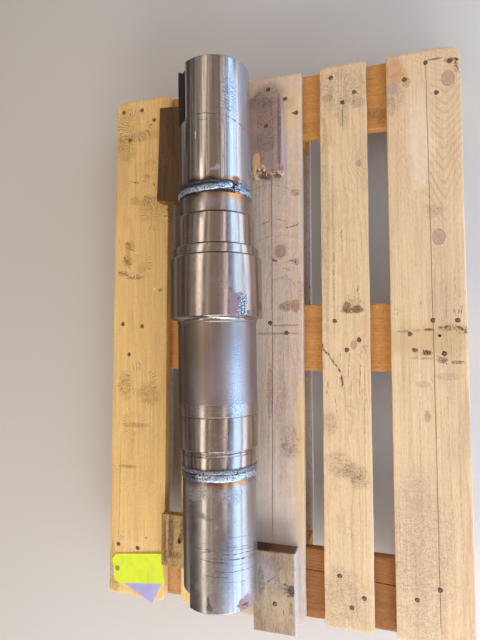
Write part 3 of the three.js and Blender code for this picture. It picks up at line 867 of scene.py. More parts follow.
core_profile = [
    (UNDER_WELD_RADIUS, NEAR_NECK - UNDER_WELD), (NEAR_NECK_RADIUS, NEAR_NECK - UNDER_WELD),
    (NEAR_NECK_RADIUS, NEAR_JOURNAL - 10.1), (GROOVE_RADIUS, NEAR_JOURNAL - 9.8),
    (GROOVE_RADIUS, NEAR_JOURNAL - 8.4), (NEAR_NECK_RADIUS, NEAR_JOURNAL - 8.1),
    (NEAR_NECK_RADIUS, NEAR_JOURNAL - 5.1), (GROOVE_RADIUS, NEAR_JOURNAL - 4.8),
    (GROOVE_RADIUS, NEAR_JOURNAL - 3.2), (NEAR_NECK_RADIUS, NEAR_JOURNAL - 2.9),
    (NEAR_NECK_RADIUS, NEAR_JOURNAL), (JOURNAL_RADIUS - 1.2, NEAR_JOURNAL),
    (JOURNAL_RADIUS, NEAR_JOURNAL + 1.2), (JOURNAL_RADIUS, BAND - 2), (JOURNAL_RADIUS - 0.8, BAND - 1.6),
    (JOURNAL_RADIUS - 0.8, BAND - 0.4), (BODY_RADIUS + 0.15, BAND), (BODY_RADIUS + 0.15, BODY - 0.6),
    (BODY_RADIUS - 0.15, BODY), (BODY_RADIUS - 0.15, FILLET), (BODY_RADIUS + 1.2, FILLET + 1.2),
    (BODY_RADIUS + 1.5, FILLET + 4.5), (BODY_RADIUS + 3, FILLET + 7.5), (BODY_RADIUS + 6, COLLAR),
    (COLLAR_RADIUS - 1.8, COLLAR), (COLLAR_RADIUS, COLLAR + 1.8), (COLLAR_RADIUS, RING - 2),
    (COLLAR_RADIUS - 2, RING), (RING_RADIUS - 1, RING), (RING_RADIUS - 1, RING + 1.4),
    (RING_RADIUS, RING + 2), (RING_RADIUS, FAR_JOURNAL - 2), (RING_RADIUS - 2, FAR_JOURNAL),
    (FAR_JOURNAL_RADIUS - 1, FAR_JOURNAL), (FAR_JOURNAL_RADIUS - 1, FAR_JOURNAL + 1.4),
    (FAR_JOURNAL_RADIUS, FAR_JOURNAL + 2), (FAR_JOURNAL_RADIUS, FAR_NECK - 3.5),
    (FAR_JOURNAL_RADIUS - 1.3, FAR_NECK - 1), (FAR_JOURNAL_RADIUS - 3.5, FAR_NECK),
    (FAR_NECK_RADIUS - 1, FAR_NECK), (FAR_NECK_RADIUS - 1, FAR_NECK + 1.4), (FAR_NECK_RADIUS, FAR_NECK + 2),
    (FAR_NECK_RADIUS, FAR_WELD + UNDER_WELD), (UNDER_WELD_RADIUS, FAR_WELD + UNDER_WELD),
]
core = turned("rotor_shaft_turned", core_profile, core_steel)

near_profile = [
    (0.4, 14), (8, 0), (NEAR_BARREL_RADIUS - 2, 0), (NEAR_BARREL_RADIUS, 2),
    (NEAR_BARREL_RADIUS, NEAR_BARREL_END + UNDER_WELD), (UNDER_WELD_RADIUS, NEAR_BARREL_END + UNDER_WELD),
]
near_barrel = turned("end_barrel_near_turned", near_profile, near_steel)
flat_outline = [(-80, -20), (80, -20), (80, FLAT_LENGTH), (-80, FLAT_LENGTH)]
flat_cutter = prism("flat_cutter", flat_outline, NEAR_BARREL_RADIUS - FLAT_DEPTH, CUTTER_TOP, FLAT_ANGLE)
carve(near_barrel, flat_cutter, 0.7)

far_profile = [
    (UNDER_WELD_RADIUS, FAR_BARREL - UNDER_WELD), (FAR_BARREL_RADIUS, FAR_BARREL - UNDER_WELD),
    (FAR_BARREL_RADIUS, SHAFT_END - 2), (FAR_BARREL_RADIUS - 2, SHAFT_END), (8, SHAFT_END),
    (0.4, SHAFT_END - 14),
]
far_barrel = turned("end_barrel_far_turned", far_profile, far_steel)
keyway_start = SHAFT_END - KEYWAY_LENGTH
half_key = KEYWAY_WIDTH / 2
keyway_outline = [(half_key, SHAFT_END + 20), (-half_key, SHAFT_END + 20)]
for corner_x, first_angle in ((-half_key + KEYWAY_CORNER, 180), (half_key - KEYWAY_CORNER, 270)):
    for degrees in range(first_angle, first_angle + 91, 15):
        turn = math.radians(degrees)
        keyway_outline.append((corner_x + KEYWAY_CORNER * math.cos(turn),
                               keyway_start + KEYWAY_CORNER + KEYWAY_CORNER * math.sin(turn)))
keyway_floor = FAR_BARREL_RADIUS - KEYWAY_DEPTH
keyway_cutter = prism("keyway_cutter", keyway_outline, keyway_floor, CUTTER_TOP, KEYWAY_ANGLE)
carve(far_barrel, keyway_cutter, 0.6)

# Weld beads: the radius at which lengths round them are measured, their hidden inside and their ripples
WELD_RADIUS = 76
WELD_INSIDE = 58
RIPPLE_PITCH = 3.6


def bead_height(along_bead, place, passes):
    """Height over the joint and shine of the highest of several weld passes, at one angle and place.

    A pass is (centre, half width, height, from angle, to angle, ripple, how far its end veers, shine).
    """
    best = 0.0
    best_shine = 0.2
    for centre, half, rise, low, high, ripple, veer, shine in passes:
        angle = (along_bead - low) % (2 * math.pi) + low
        beyond = max(0.0, angle - high)
        before = 2 * math.pi - (angle - low)
        outside = min(beyond, before) if beyond > 0 else 0.0
        drift = centre + veer * min(max(1 - (high - angle) / 0.9, 0), 1) ** 2
        drift += 0.6 * noise.noise(Vector((math.cos(angle) * 5, math.sin(angle) * 5, centre)))
        swell = noise.noise(Vector((math.cos(angle) * 11, math.sin(angle) * 11, centre + 3)))
        width = half * (1 + 0.12 * swell)
        offset = (place - drift) / width
        tip = outside * WELD_RADIUS / half
        reach = offset * offset + tip * tip
        if reach >= 1:
            continue
        scale = ripple * math.cos(2 * math.pi * (angle * WELD_RADIUS / RIPPLE_PITCH + 0.5 * offset * offset))
        height = rise * math.sqrt(1 - reach) + scale * (1 - reach)
        if height > best:
            best = height
            best_shine = shine
    return best, best_shine


def bead(name, low, high, low_radius, high_radius, passes, scorched, material):
    """A ring of weld metal, laid in passes between two radii."""
    steps_round = 640
    steps_along = 44
    angles = np.linspace(0, 2 * math.pi, steps_round, endpoint=False)
    places = np.linspace(low, high, steps_along)
    crest = []
    shine = []
    rings = []
    for place in places:
        share = (place - low) / (high - low)
        base = low_radius + (high_radius - low_radius) * share - 0.4
        ring = []
        for angle in angles:
            height, gloss = bead_height(angle, place, passes)
            radius = base + height
            ring.append((radius * math.sin(angle), place, radius * math.cos(angle)))
            crest.append(height)
            shine.append(gloss)
        rings.append(ring)
    inner = [[(WELD_INSIDE * math.sin(a), place, WELD_INSIDE * math.cos(a)) for a in angles]
             for place in (low, high)]
    rings = np.array([inner[0], *rings, inner[1]]) * MM
    vertices, faces = skin(rings)
    made = make_object(name, vertices, faces, [material], 60)
    burnt_angle, burnt_place, reach = scorched
    flat_x = np.tile((angles - burnt_angle + math.pi) % (2 * math.pi) - math.pi, len(rings)) * WELD_RADIUS
    flat_y = np.repeat([low, *places, high], steps_round) - burnt_place
    hidden = np.zeros(steps_round)
    for attribute, values in (("crest", np.concatenate([hidden, np.array(crest) / max(crest), hidden])),
                              ("shine", np.concatenate([hidden, shine, hidden])),
                              ("scorch", np.clip(1.3 - np.hypot(flat_x, flat_y) / reach, 0, 1))):
        painted = made.data.attributes.new(attribute, "FLOAT", "POINT")
        painted.data.foreach_set("value", values.astype(np.float32))
    return made


def degrees_pass(centre, half, rise, low, high, ripple, shine, veer=0.0):
    """A weld pass for bead_height, with its two angles given in degrees."""
    return centre, half, rise, math.radians(low), math.radians(high), ripple, veer, shine


# Centre, half width, height, first and last angle, ripple, shine, how far the end veers
far_passes = [
    degrees_pass(810.5, 3.8, 1.5, 50, 190, 0.1, 0.9), degrees_pass(817.5, 3.8, 1.9, 53, 190, 0.12, 0.95),
    degrees_pass(825, 4.4, 1.8, 57, 190, 0.12, 0.8), degrees_pass(809.5, 3.6, 1.2, -170, 50, 0.1, 0.1),
    degrees_pass(828, 4.0, 1.7, -170, 56, 0.1, 0.15), degrees_pass(822, 3.2, 1.5, -170, 54, 0.1, 0.15),
    degrees_pass(815, 6.4, 3.6, -300, 43, 0.15, 1.0, 6.5),
]
far_weld = bead("weld_far_bead", FAR_WELD, FAR_BARREL, FAR_NECK_RADIUS, FAR_BARREL_RADIUS, far_passes,
                (math.radians(53), 829, 3.4), far_bead)
near_passes = [
    degrees_pass(245, 4.3, 1.7, -75, -10, 0.12, 0.4), degrees_pass(252, 3.9, 1.6, -180, 180, 0.12, 0.35),
    degrees_pass(261, 5.0, 2.2, -180, 180, 0.2, 0.45), degrees_pass(249.5, 7.4, 3.3, -13, 290, 0.18, 0.95),
]
near_weld = bead("weld_near_bead", NEAR_BARREL_END, NEAR_NECK, NEAR_BARREL_RADIUS, NEAR_NECK_RADIUS,
                 near_passes, (math.radians(44), 240, 3), near_bead)

shaft_pieces = [
    (core, "ground_steel", "rotor_shaft"), (near_barrel, "ground_steel", "end_barrel_near"),
    (far_barrel, "ground_steel", "end_barrel_far"), (near_weld, "weld_steel", "weld_near"),
    (far_weld, "weld_steel", "weld_far"),
]
for piece, slot, node in shaft_pieces:
    piece.matrix_world = shaft_place
    settle(piece, slot, node)


# The pallet's deck boards

PALE_PINE = (rgb(226, 196, 156), rgb(196, 158, 116), rgb(128, 104, 84))
PINK_PINE = (rgb(226, 196, 158), rgb(188, 148, 106), rgb(132, 108, 88))
GOLDEN_PINE = (rgb(236, 200, 134), rgb(206, 158, 90), rgb(138, 106, 66))
DUSTY_PINE = (rgb(214, 188, 164), rgb(176, 146, 120), rgb(116, 96, 82))
ORANGE_PINE = (rgb(202, 148, 84), rgb(166, 110, 54), rgb(92, 62, 36))
SMUDGE = rgb(84, 68, 54)
GREY_STAIN = rgb(112, 104, 98)
GREEN_STAIN = rgb(136, 128, 92)
YELLOW_EDGE = rgb(226, 190, 126)
SCUFF = rgb(158, 112, 62)
DARK_SCUFF = rgb(104, 72, 42)
BROWN_SCUFF = rgb(124, 84, 44)
OLD_SPLIT = rgb(62, 46, 36)
BLACK_STAIN = rgb(42, 40, 48)
GRAIN_LINE = rgb(146, 114, 84)
PALE_SPLIT = rgb(250, 236, 206)

left_wood = timber(
    "deck_wood_left", GOLDEN_PINE, (60, 40), 1, lean=(0.01, 0.02), ring_share=0.3, streaks=0.2, flecks=0.3,
    knots=[(127, 717, 4)],
    spots=[(28, 1074, 26, 34, BROWN_SCUFF, 0.6, 0.15), (14, 1092, 10, 16, BROWN_SCUFF, 0.5, 0.2),
           (30, 1145, 34, 44, SCUFF, 0.6, 0.15), (60, 1106, 74, 12, SCUFF, 0.4, 0.6),
           (90, 940, 15, 14, BROWN_SCUFF, 0.6, 0.2), (56, 941, 16, 10, SCUFF, 0.7, 0.2),
           (100, 920, 34, 30, SCUFF, 0.6, 0.1), (40, 829, 13, 14, SCUFF, 0.9, 0.35),
           (36, 792, 12, 14, SCUFF, 0.9, 0.35), (24, 762, 14, 7, SCUFF, 0.8, 0.3),
           (58, 750, 26, 4, BROWN_SCUFF, 0.7, 0.3), (78, 772, 12, 12, SCUFF, 0.5, 0.2),
           (88, 1002, 10, 6, SCUFF, 0.7, 0.3), (96, 1035, 14, 8, SCUFF, 0.4, 0.2),
           (36, 486, 18, 30, SCUFF, 0.8, 0.2), (100, 466, 26, 26, SCUFF, 0.8, 0.15),
           (63, 391, 34, 6, SCUFF, 0.8, 0.3), (46, 292, 24, 4, BROWN_SCUFF, 0.7, 0.4),
           (112, 720, 4, 3, PALE_SPLIT, 0.8, 0.9), (11, 14, 16, 14, rgb(96, 74, 50), 0.7, 0.2),
           (97, 130, 2.5, 2.5, BROWN_SCUFF, 0.8, 0.8), (60, 112, 40, 8, rgb(236, 206, 160), 0.5, 0.8),
           (8, 60, 8, 50, SCUFF, 0.6, 0.3)],
    slashes=[(35, 996, 65, 987, 1.6, BROWN_SCUFF, 0.9), (76, 990, 92, 988, 1.5, BROWN_SCUFF, 0.7),
             (27, 842, 36, 832, 2.2, BROWN_SCUFF, 0.9), (35, 841, 43, 828, 2.0, BROWN_SCUFF, 0.9),
             (41, 832, 50, 817, 2.0, BROWN_SCUFF, 0.8), (40, 816, 70, 810, 1.3, PALE_SPLIT, 0.6),
             (46, 824, 62, 818, 1.2, PALE_SPLIT, 0.5), (25, 803, 40, 792, 2.0, BROWN_SCUFF, 0.9),
             (28, 796, 45, 783, 2.0, BROWN_SCUFF, 0.9), (31, 789, 44, 775, 1.8, BROWN_SCUFF, 0.8),
             (11, 768, 24, 760, 1.8, BROWN_SCUFF, 0.9), (20, 764, 37, 755, 1.8, BROWN_SCUFF, 0.9),
             (36, 755, 56, 747, 1.8, BROWN_SCUFF, 0.8), (55, 747, 83, 752, 1.6, BROWN_SCUFF, 0.8),
             (120, 716, 135, 718, 1.8, BROWN_SCUFF, 0.9), (12, 847, 12, 838, 1.8, BROWN_SCUFF, 0.9),
             (82, 952, 84, 930, 1.4, BROWN_SCUFF, 0.7), (90, 950, 92, 930, 1.4, BROWN_SCUFF, 0.7),
             (98, 948, 99, 932, 1.4, BROWN_SCUFF, 0.6), (104, 985, 112, 968, 1.2, OLD_SPLIT, 0.8)],
    treads=[(108, 903, 44, 1.0), (50, 925, 34, 0.7), (66, 782, 40, 0.8), (76, 500, 46, 0.8),
            (55, 1140, 50, 1.0), (84, 1010, 34, 0.5), (60, 395, 32, 0.6)],
    grime=0.25)
left_inner_wood = timber("deck_wood_left_inner", GOLDEN_PINE, (240, -30), 2, ring_share=0.35, grime=0.45,
                         streaks=0.25, spots=[(236, 1172, 50, 30, GREY_STAIN, 0.6, 0.2)])
middle_wood = timber(
    "deck_wood_middle", DUSTY_PINE, (452, 60), 3, lean=(0.02, 0.03), ring_share=0.4, knots=[(422, 794, 12)],
    spots=[(400, 1100, 90, 110, rgb(226, 198, 162), 0.45, 1.0),
           (400, 120, 90, 190, rgb(226, 212, 198), 0.5, 1.0), (440, 1120, 40, 40, YELLOW_EDGE, 0.5, 0.8),
           (466, 420, 9, 90, YELLOW_EDGE, 0.7, 0.8), (464, 280, 12, 130, YELLOW_EDGE, 0.55, 0.8),
           (422, 794, 13, 16, rgb(138, 108, 96), 0.6, 0.6), (436, 669, 15, 11, DARK_SCUFF, 0.9, 0.35),
           (457, 670, 9, 14, rgb(158, 104, 62), 0.8, 0.6), (466, 700, 5, 32, rgb(150, 102, 68), 0.5, 0.15),
           (442, 378, 24, 32, SMUDGE, 0.5, 0.1), (436, 356, 14, 16, SMUDGE, 0.5, 0.2),
           (398, 480, 8, 60, rgb(120, 80, 66), 0.5, 0.5), (400, 1160, 34, 24, GREY_STAIN, 0.6, 0.4),
           (448, 1131, 12, 14, rgb(146, 122, 106), 0.4, 0.4), (458, 924, 11, 8, DARK_SCUFF, 0.6, 0.3),
           (436, 627, 32, 2.5, DARK_SCUFF, 0.7, 0.35), (416, 609, 50, 2.5, DARK_SCUFF, 0.7, 0.4),
           (420, 470, 14, 60, SMUDGE, 0.4, 0.05), (372, 1148, 12, 20, SMUDGE, 0.6, 0.3),
           (458, 768, 9, 8, DARK_SCUFF, 0.5, 0.3)],
    slashes=[(356, 937, 380, 946, 1.0, GRAIN_LINE, 0.8), (380, 946, 405, 948, 1.0, GRAIN_LINE, 0.8),
             (405, 948, 436, 937, 1.0, GRAIN_LINE, 0.8), (436, 937, 466, 918, 1.2, DARK_SCUFF, 0.7),
             (369, 854, 397, 863, 1.2, DARK_SCUFF, 0.8), (412, 867, 434, 861, 1.2, DARK_SCUFF, 0.7),
             (433, 845, 452, 847, 1.8, OLD_SPLIT, 0.9), (452, 847, 467, 853, 1.8, OLD_SPLIT, 0.9),
             (404, 775, 415, 770, 2.2, OLD_SPLIT, 0.9), (439, 768, 452, 772, 1.6, OLD_SPLIT, 0.8),
             (450, 771, 462, 763, 1.8, OLD_SPLIT, 0.9), (455, 776, 462, 760, 1.4, OLD_SPLIT, 0.7),
             (435, 740, 458, 712, 0.9, DARK_SCUFF, 0.6), (451, 1108, 463, 1104, 3.0, OLD_SPLIT, 0.9),
             (428, 756, 444, 748, 0.9, DARK_SCUFF, 0.6), (368, 905, 392, 915, 0.9, GRAIN_LINE, 0.6),
             (418, 905, 446, 896, 0.9, GRAIN_LINE, 0.6), (372, 820, 396, 829, 0.9, GRAIN_LINE, 0.6)],
    grime=0.35, dust=(0.1, 0.35), streaks=0.3, flecks=0.5)
right_inner_wood = timber(
    "deck_wood_right_inner", PALE_PINE, (560, -60), 4, lean=(0.002, 0.012), spacing=3.2, ring_share=0.45,
    knots=[(580, 584, 7), (596, 974, 6)],
    spots=[(604, 600, 10, 60, rgb(214, 168, 136), 0.5, 0.7), (524, 850, 8, 260, GREEN_STAIN, 0.5, 0.4),
           (540, 800, 3, 200, GREEN_STAIN, 0.5, 0.5), (567, 663, 9, 12, DARK_SCUFF, 0.95, 0.6),
           (588, 659, 11, 8, DARK_SCUFF, 0.95, 0.65), (578, 656, 25, 6, DARK_SCUFF, 0.85, 0.3),
           (578, 670, 24, 14, DARK_SCUFF, 0.5, 0.1), (548, 332, 26, 26, SMUDGE, 0.5, 0.15),
           (575, 318, 28, 18, SMUDGE, 0.6, 0.3), (590, 300, 20, 14, SMUDGE, 0.5, 0.2),
           (530, 1130, 12, 8, SMUDGE, 0.6, 0.4), (558, 1150, 54, 44, GREY_STAIN, 0.5, 0.2),
           (596, 1110, 14, 14, GREY_STAIN, 0.5, 0.5), (550, 60, 50, 60, GREY_STAIN, 0.5, 0.2),
           (563, 1085, 14, 20, SMUDGE, 0.5, 0.2), (530, 420, 14, 26, GREEN_STAIN, 0.6, 0.3)],
    slashes=[(590.6, 709, 590.1, 672, 1.4, DARK_SCUFF, 0.9), (584, 702, 584, 676, 1.0, DARK_SCUFF, 0.6),
             (571, 690, 570, 672, 1.0, DARK_SCUFF, 0.6), (513.5, 586, 519, 571, 2.0, OLD_SPLIT, 0.95),
             (518, 572, 529, 560, 2.0, OLD_SPLIT, 0.95), (526, 566, 539, 545, 1.8, OLD_SPLIT, 0.95),
             (530, 557, 542, 541, 1.4, OLD_SPLIT, 0.9), (538, 546, 548, 533, 1.8, OLD_SPLIT, 0.95),
             (547, 535, 555, 518, 2.0, OLD_SPLIT, 0.95), (555, 521, 555.5, 491, 2.2, OLD_SPLIT, 0.95),
             (551, 516, 551, 502, 1.2, OLD_SPLIT, 0.8), (553, 572, 551, 535, 0.9, GRAIN_LINE, 0.8),
             (571, 567, 567, 515, 1.0, GRAIN_LINE, 0.8), (595, 572, 590, 480, 1.0, GRAIN_LINE, 0.8),
             (525, 505, 523, 475, 1.4, DARK_SCUFF, 0.8), (538, 478, 546, 431, 1.0, GRAIN_LINE, 0.8),
             (557, 831, 559, 787, 1.0, DARK_SCUFF, 0.8), (541, 783, 540, 678, 1.0, GRAIN_LINE, 0.9),
             (597, 580, 609, 581, 1.4, DARK_SCUFF, 0.8), (600, 592, 604, 566, 0.9, DARK_SCUFF, 0.5),
             (575, 540, 572, 440, 0.9, GRAIN_LINE, 0.6), (602, 540, 600, 400, 0.9, GRAIN_LINE, 0.6)],
    treads=[(560, 1140, 40, 0.7)], grime=0.3, streaks=0.3, flecks=0.3)
right_wood = timber(
    "deck_wood_right", PINK_PINE, (800, 140), 5, lean=(0.0, 0.0), spacing=11, ring_share=1.0, wave=1.4,
    cone=(740, 1.1), plain=(705, 748), fade=(800, 920), knots=[(776, 1132, 13), (751, 803, 13)],
    spots=[(727, 592, 90, 34, rgb(200, 168, 116), 0.5, 1.0),
           (722, 1000, 24, 90, rgb(244, 228, 204), 0.5, 0.8), (700, 160, 60, 160, GREY_STAIN, 0.45, 0.12),
           (678, 611, 12, 3, DARK_SCUFF, 0.6, 0.35), (706, 613, 8, 2.5, DARK_SCUFF, 0.5, 0.4),
           (728, 614, 10, 3, DARK_SCUFF, 0.9, 0.5), (762, 617, 18, 6, DARK_SCUFF, 0.7, 0.1),
           (790, 613, 10, 9, DARK_SCUFF, 0.7, 0.1), (748, 602, 3, 3, rgb(24, 18, 14), 1.0, 1.0),
           (701, 573, 6, 4.5, DARK_SCUFF, 0.95, 0.8), (724, 567.5, 10, 5.5, DARK_SCUFF, 0.9, 0.55),
           (752, 553, 11, 6.5, DARK_SCUFF, 0.85, 0.4), (781, 549, 12, 3.5, DARK_SCUFF, 0.9, 0.45),
           (700, 557, 6, 3, SMUDGE, 0.5, 0.3), (722, 556, 11, 2.5, SMUDGE, 0.6, 0.35),
           (759, 520, 22, 8, GREY_STAIN, 0.4, 0.2), (715, 504, 14, 7, GREY_STAIN, 0.4, 0.3),
           (745, 858, 18, 12, GREY_STAIN, 0.5, 0.3), (674, 1110, 18, 28, GREY_STAIN, 0.5, 0.2),
           (722, 440, 6, 12, SMUDGE, 0.5, 0.5), (672, 1170, 22, 22, rgb(200, 146, 98), 0.75, 0.7),
           (676, 1148, 20, 16, rgb(200, 146, 98), 0.7, 0.6), (752, 1177, 14, 2, DARK_SCUFF, 0.9, 0.8),
           (780, 1170, 12, 5, DARK_SCUFF, 0.8, 0.4), (792, 1156, 5, 16, DARK_SCUFF, 0.6, 0.3),
           (668, 1128, 12, 14, rgb(180, 152, 136), 0.8, 0.8),
           (664, 1090, 9, 24, rgb(168, 128, 96), 0.6, 0.3), (696, 1136, 8, 12, SCUFF, 0.7, 0.4)],
    slashes=[(747, 617, 760, 618, 2.6, DARK_SCUFF, 0.95), (758, 619, 774, 621, 3.2, DARK_SCUFF, 0.95),
             (773, 619, 784, 619, 1.8, DARK_SCUFF, 0.9), (782, 619, 799, 608, 3.0, DARK_SCUFF, 0.95),
             (766, 624, 770, 616, 1.6, DARK_SCUFF, 0.9), (720, 615, 738, 613, 2.0, DARK_SCUFF, 0.8),
             (783, 1172, 797, 1167, 3.0, OLD_SPLIT, 0.9), (790, 1166, 797, 1140, 1.6, OLD_SPLIT, 0.8),
             (661, 656, 677, 655, 1.2, DARK_SCUFF, 0.8), (669, 664, 668, 646, 1.0, DARK_SCUFF, 0.7),
             (663, 661, 675, 649, 1.0, DARK_SCUFF, 0.7), (714, 677, 714.5, 654, 1.2, DARK_SCUFF, 0.6),
             (717, 574, 721, 565, 1.4, OLD_SPLIT, 0.9), (722, 573, 726, 563, 1.4, OLD_SPLIT, 0.9),
             (728, 570, 731, 561, 1.4, OLD_SPLIT, 0.9), (744, 562, 748, 551, 1.3, OLD_SPLIT, 0.9),
             (750, 558, 754, 548, 1.3, OLD_SPLIT, 0.9), (756, 554, 760, 544, 1.3, OLD_SPLIT, 0.9),
             (771, 546, 792, 552, 1.2, OLD_SPLIT, 0.9), (776, 661, 775.5, 643, 1.2, DARK_SCUFF, 0.8),
             (785, 659, 784, 644, 1.2, DARK_SCUFF, 0.8), (790, 661, 789, 645, 1.2, DARK_SCUFF, 0.8),
             (752, 640, 752, 560, 0.8, GRAIN_LINE, 0.6), (762, 700, 761, 580, 0.8, GRAIN_LINE, 0.5),
             (770, 640, 769, 540, 0.8, GRAIN_LINE, 0.6), (779, 740, 778, 600, 0.8, GRAIN_LINE, 0.6),
             (787, 700, 786, 560, 0.8, GRAIN_LINE, 0.6), (708, 480, 706, 300, 0.8, GRAIN_LINE, 0.5),
             (760, 480, 763, 240, 0.8, GRAIN_LINE, 0.5), (778, 420, 780, 160, 0.8, GRAIN_LINE, 0.5)],
    grime=0.15, streaks=0.25, flecks=0.3)

# Name, edges, finish, seed, how far each far corner is cut off, outline of the near end, cracks
deck = [
    ("left", (0, 145), left_wood, 1, 16, 2,
     [(0, -2), (0.10, -8), (0.38, -4), (0.49, -8), (0.85, -8), (0.95, -7), (1, 3)],
     [([(22.6, 108), (24.6, 186), (24.2, 330)], 1.6, 4)]),
    ("left_inner", (186.25, 286.25), left_inner_wood, 2, 2, 2,
     [(0, 14), (0.02, -1), (0.1, -4), (0.2, -4), (0.8, -3), (1, 2)], []),
    ("middle", (327.5, 472.5), middle_wood, 3, 2, 2,
     [(0, 2), (0.1, -6), (0.5, -7), (0.9, -7), (0.96, -5), (1, 9)],
     [([(402, 150), (404, 500), (403, 1000)], 1.6, 5)]),
    ("right_inner", (513.75, 613.75), right_inner_wood, 4, 2, 2,
     [(0, 10), (0.07, 0), (0.5, 0), (0.97, 1), (1, 4)],
     [([(563, 1045), (563, 1116)], 1.8, 5)]),
    ("right", (655, 800), right_wood, 5, 2, 16,
     [(0, 3), (0.05, -2), (0.5, -3), (0.9, -3), (1, 12)],
     [([(737, 20), (737, 377), (736, 776), (734, 1196)], 1.3, 4)]),
]
for name, (left, right), wood, seed, cut_left, cut_right, near_end, cracks in deck:
    width = right - left
    far_end = [(0, PALLET_LENGTH - cut_left), (cut_left / width, PALLET_LENGTH),
               (1 - cut_right / width, PALLET_LENGTH), (1, PALLET_LENGTH - cut_right)]
    piece = plank(f"deck_board_{name}_sawn", (left, left), (right, right), near_end, far_end,
                  CROSS_TOP, DECK_TOP, [wood], seed, cracks)
    settle(piece, "deck_wood", f"deck_board_{name}")

# Cross boards, blocks and skids

BROWN_PINE = (rgb(158, 106, 58), rgb(124, 78, 38), rgb(66, 44, 28))
GREY_PINE = (rgb(244, 236, 226), rgb(214, 202, 190), rgb(96, 82, 72))
cross_wood = timber("bearer_wood_cross", ORANGE_PINE, (60, 30), 6, across=True, spacing=4.0, ring_share=0.35,
                    spots=[(635, 1085, 24, 16, SMUDGE, 0.6, 0.4)], grime=0.25, streaks=0.18)
# The near cross board's darker tones are partly painted shade, and its light spot at the left end is painted
# light
near_cross_wood = timber("bearer_wood_cross_near", BROWN_PINE, (60, 30), 9, across=True, spacing=4.0,
                         ring_share=0.45, grime=0.5, streaks=0.25,
                         spots=[(172, 70, 40, 90, rgb(220, 174, 124), 0.8, 0.6)])
# The skids' very pale tones are partly painted light, standing for daylight that reaches them through the
# gaps; the dust over them is real
skid_wood = timber("bearer_wood_skid", GREY_PINE, (30, -40), 7, ring_share=0.3, grime=0.7,
                   dust=(0.3, 0.6), streaks=0.4, flecks=1.0)
block_wood = timber("bearer_wood_block", ORANGE_PINE, (400, -60), 8, spacing=6.0, ring_share=0.5, grime=0.4)

# Where the rows of blocks begin and end along the pallet, and its sides across it
rows = [("near", 0, 145), ("middle", 527.5, 672.5), ("far", 1055, 1200)]
sides = [("left", 0, 100), ("middle", 327.5, 472.5), ("right", 700, 800)]
for index, (end, low_y, high_y) in enumerate(rows):
    cracks = [([(102, 440), (93, 620), (84, 760)], 2.0, 5)] if end == "near" else []
    wood = near_cross_wood if end == "near" else cross_wood
    piece = plank(f"cross_board_{end}_sawn", (low_y, low_y), (high_y, high_y), [(0, 0), (1, 0)],
                  [(0, PALLET_WIDTH), (1, PALLET_WIDTH)], BLOCK_TOP, CROSS_TOP - SEAM, [wood], 11 + index,
                  cracks, across=True, rows=70)
    settle(piece, "bearer_wood", f"cross_board_{end}")
    for side, left, right in sides:
        piece = plank(f"block_{end}_{side}_sawn", (left, left), (right, right), [(0, low_y), (1, low_y)],
                      [(0, high_y), (1, high_y)], BOARD + SEAM, BLOCK_TOP - SEAM, [block_wood],
                      21 + index * 3 + left % 7, columns=10, rows=24)
        settle(piece, "bearer_wood", f"block_{end}_{side}")
for side, left, right in sides:
    piece = plank(f"skid_{side}_sawn", (left, left), (right, right), [(0, 0), (1, 0)],
                  [(0, PALLET_LENGTH), (1, PALLET_LENGTH)], 0, BOARD, [skid_wood], 31 + left % 11,
                  rows=70, columns=14)
    settle(piece, "bearer_wood", f"skid_{side}")

# Chocks

# The far left chock's darkest tones are partly painted shade, where the shaft shades it
dark_chock = timber(
    "chock_wood_far_left", (rgb(98, 70, 44), rgb(68, 46, 28), rgb(36, 26, 20)), (200, 60), 12,
    ring_share=0.5, spacing=4, grime=0.6, streaks=0.6, flecks=0.5,
    spots=[(150, 1060, 20, 60, rgb(112, 92, 74), 0.5, 0.4), (165, 1100, 10, 60, rgb(44, 32, 24), 0.6, 0.4),
           (158, 960, 24, 24, rgb(84, 78, 56), 0.5, 0.4)],
    slashes=[(128, 927, 206, 909, 2.2, rgb(176, 134, 84), 0.9)])
grey_chock = timber(
    "chock_wood_far_right", (rgb(166, 136, 122), rgb(124, 98, 86), rgb(60, 47, 41)), (380, -20), 13,
    ring_share=0.4, grime=0.6, dust=(0.0, 0.2), streaks=0.4, flecks=0.6,
    spots=[(400, 1100, 34, 34, rgb(112, 86, 78), 0.6, 0.3), (396, 1040, 24, 24, rgb(96, 72, 66), 0.6, 0.3),
           (366, 1090, 9, 44, rgb(196, 142, 112), 0.6, 0.5),
           (385, 1130, 40, 14, rgb(86, 62, 50), 0.6, 0.3),
           # A painted highlight along the chock's right side, where the daylight falls
           (436, 1050, 4.5, 160, rgb(176, 160, 166), 1.0, 0.95),
           (426, 1060, 4, 100, rgb(90, 80, 88), 0.8, 0.6), (402, 960, 46, 6, rgb(66, 50, 42), 0.9, 0.6),
           (374, 994, 9, 21, rgb(242, 184, 130), 1.0, 0.7),
           (371, 972, 9, 13, rgb(246, 216, 176), 1.0, 0.6),
           (388, 978, 7, 9, rgb(242, 208, 168), 0.95, 0.5),
           (411, 966, 8, 3.5, rgb(232, 208, 184), 0.9, 0.4),
           (428, 966, 6, 3.5, rgb(232, 208, 184), 0.9, 0.4)],
    slashes=[(384, 988, 392, 962, 1.8, OLD_SPLIT, 0.9), (364, 958, 382, 955, 2.0, OLD_SPLIT, 0.9),
             (380, 972, 400, 958, 1.6, OLD_SPLIT, 0.9), (362, 990, 366, 964, 1.4, OLD_SPLIT, 0.8),
             (376, 1084, 394, 1078, 1.2, OLD_SPLIT, 0.7), (409, 1136, 412, 990, 0.9, OLD_SPLIT, 0.5)])
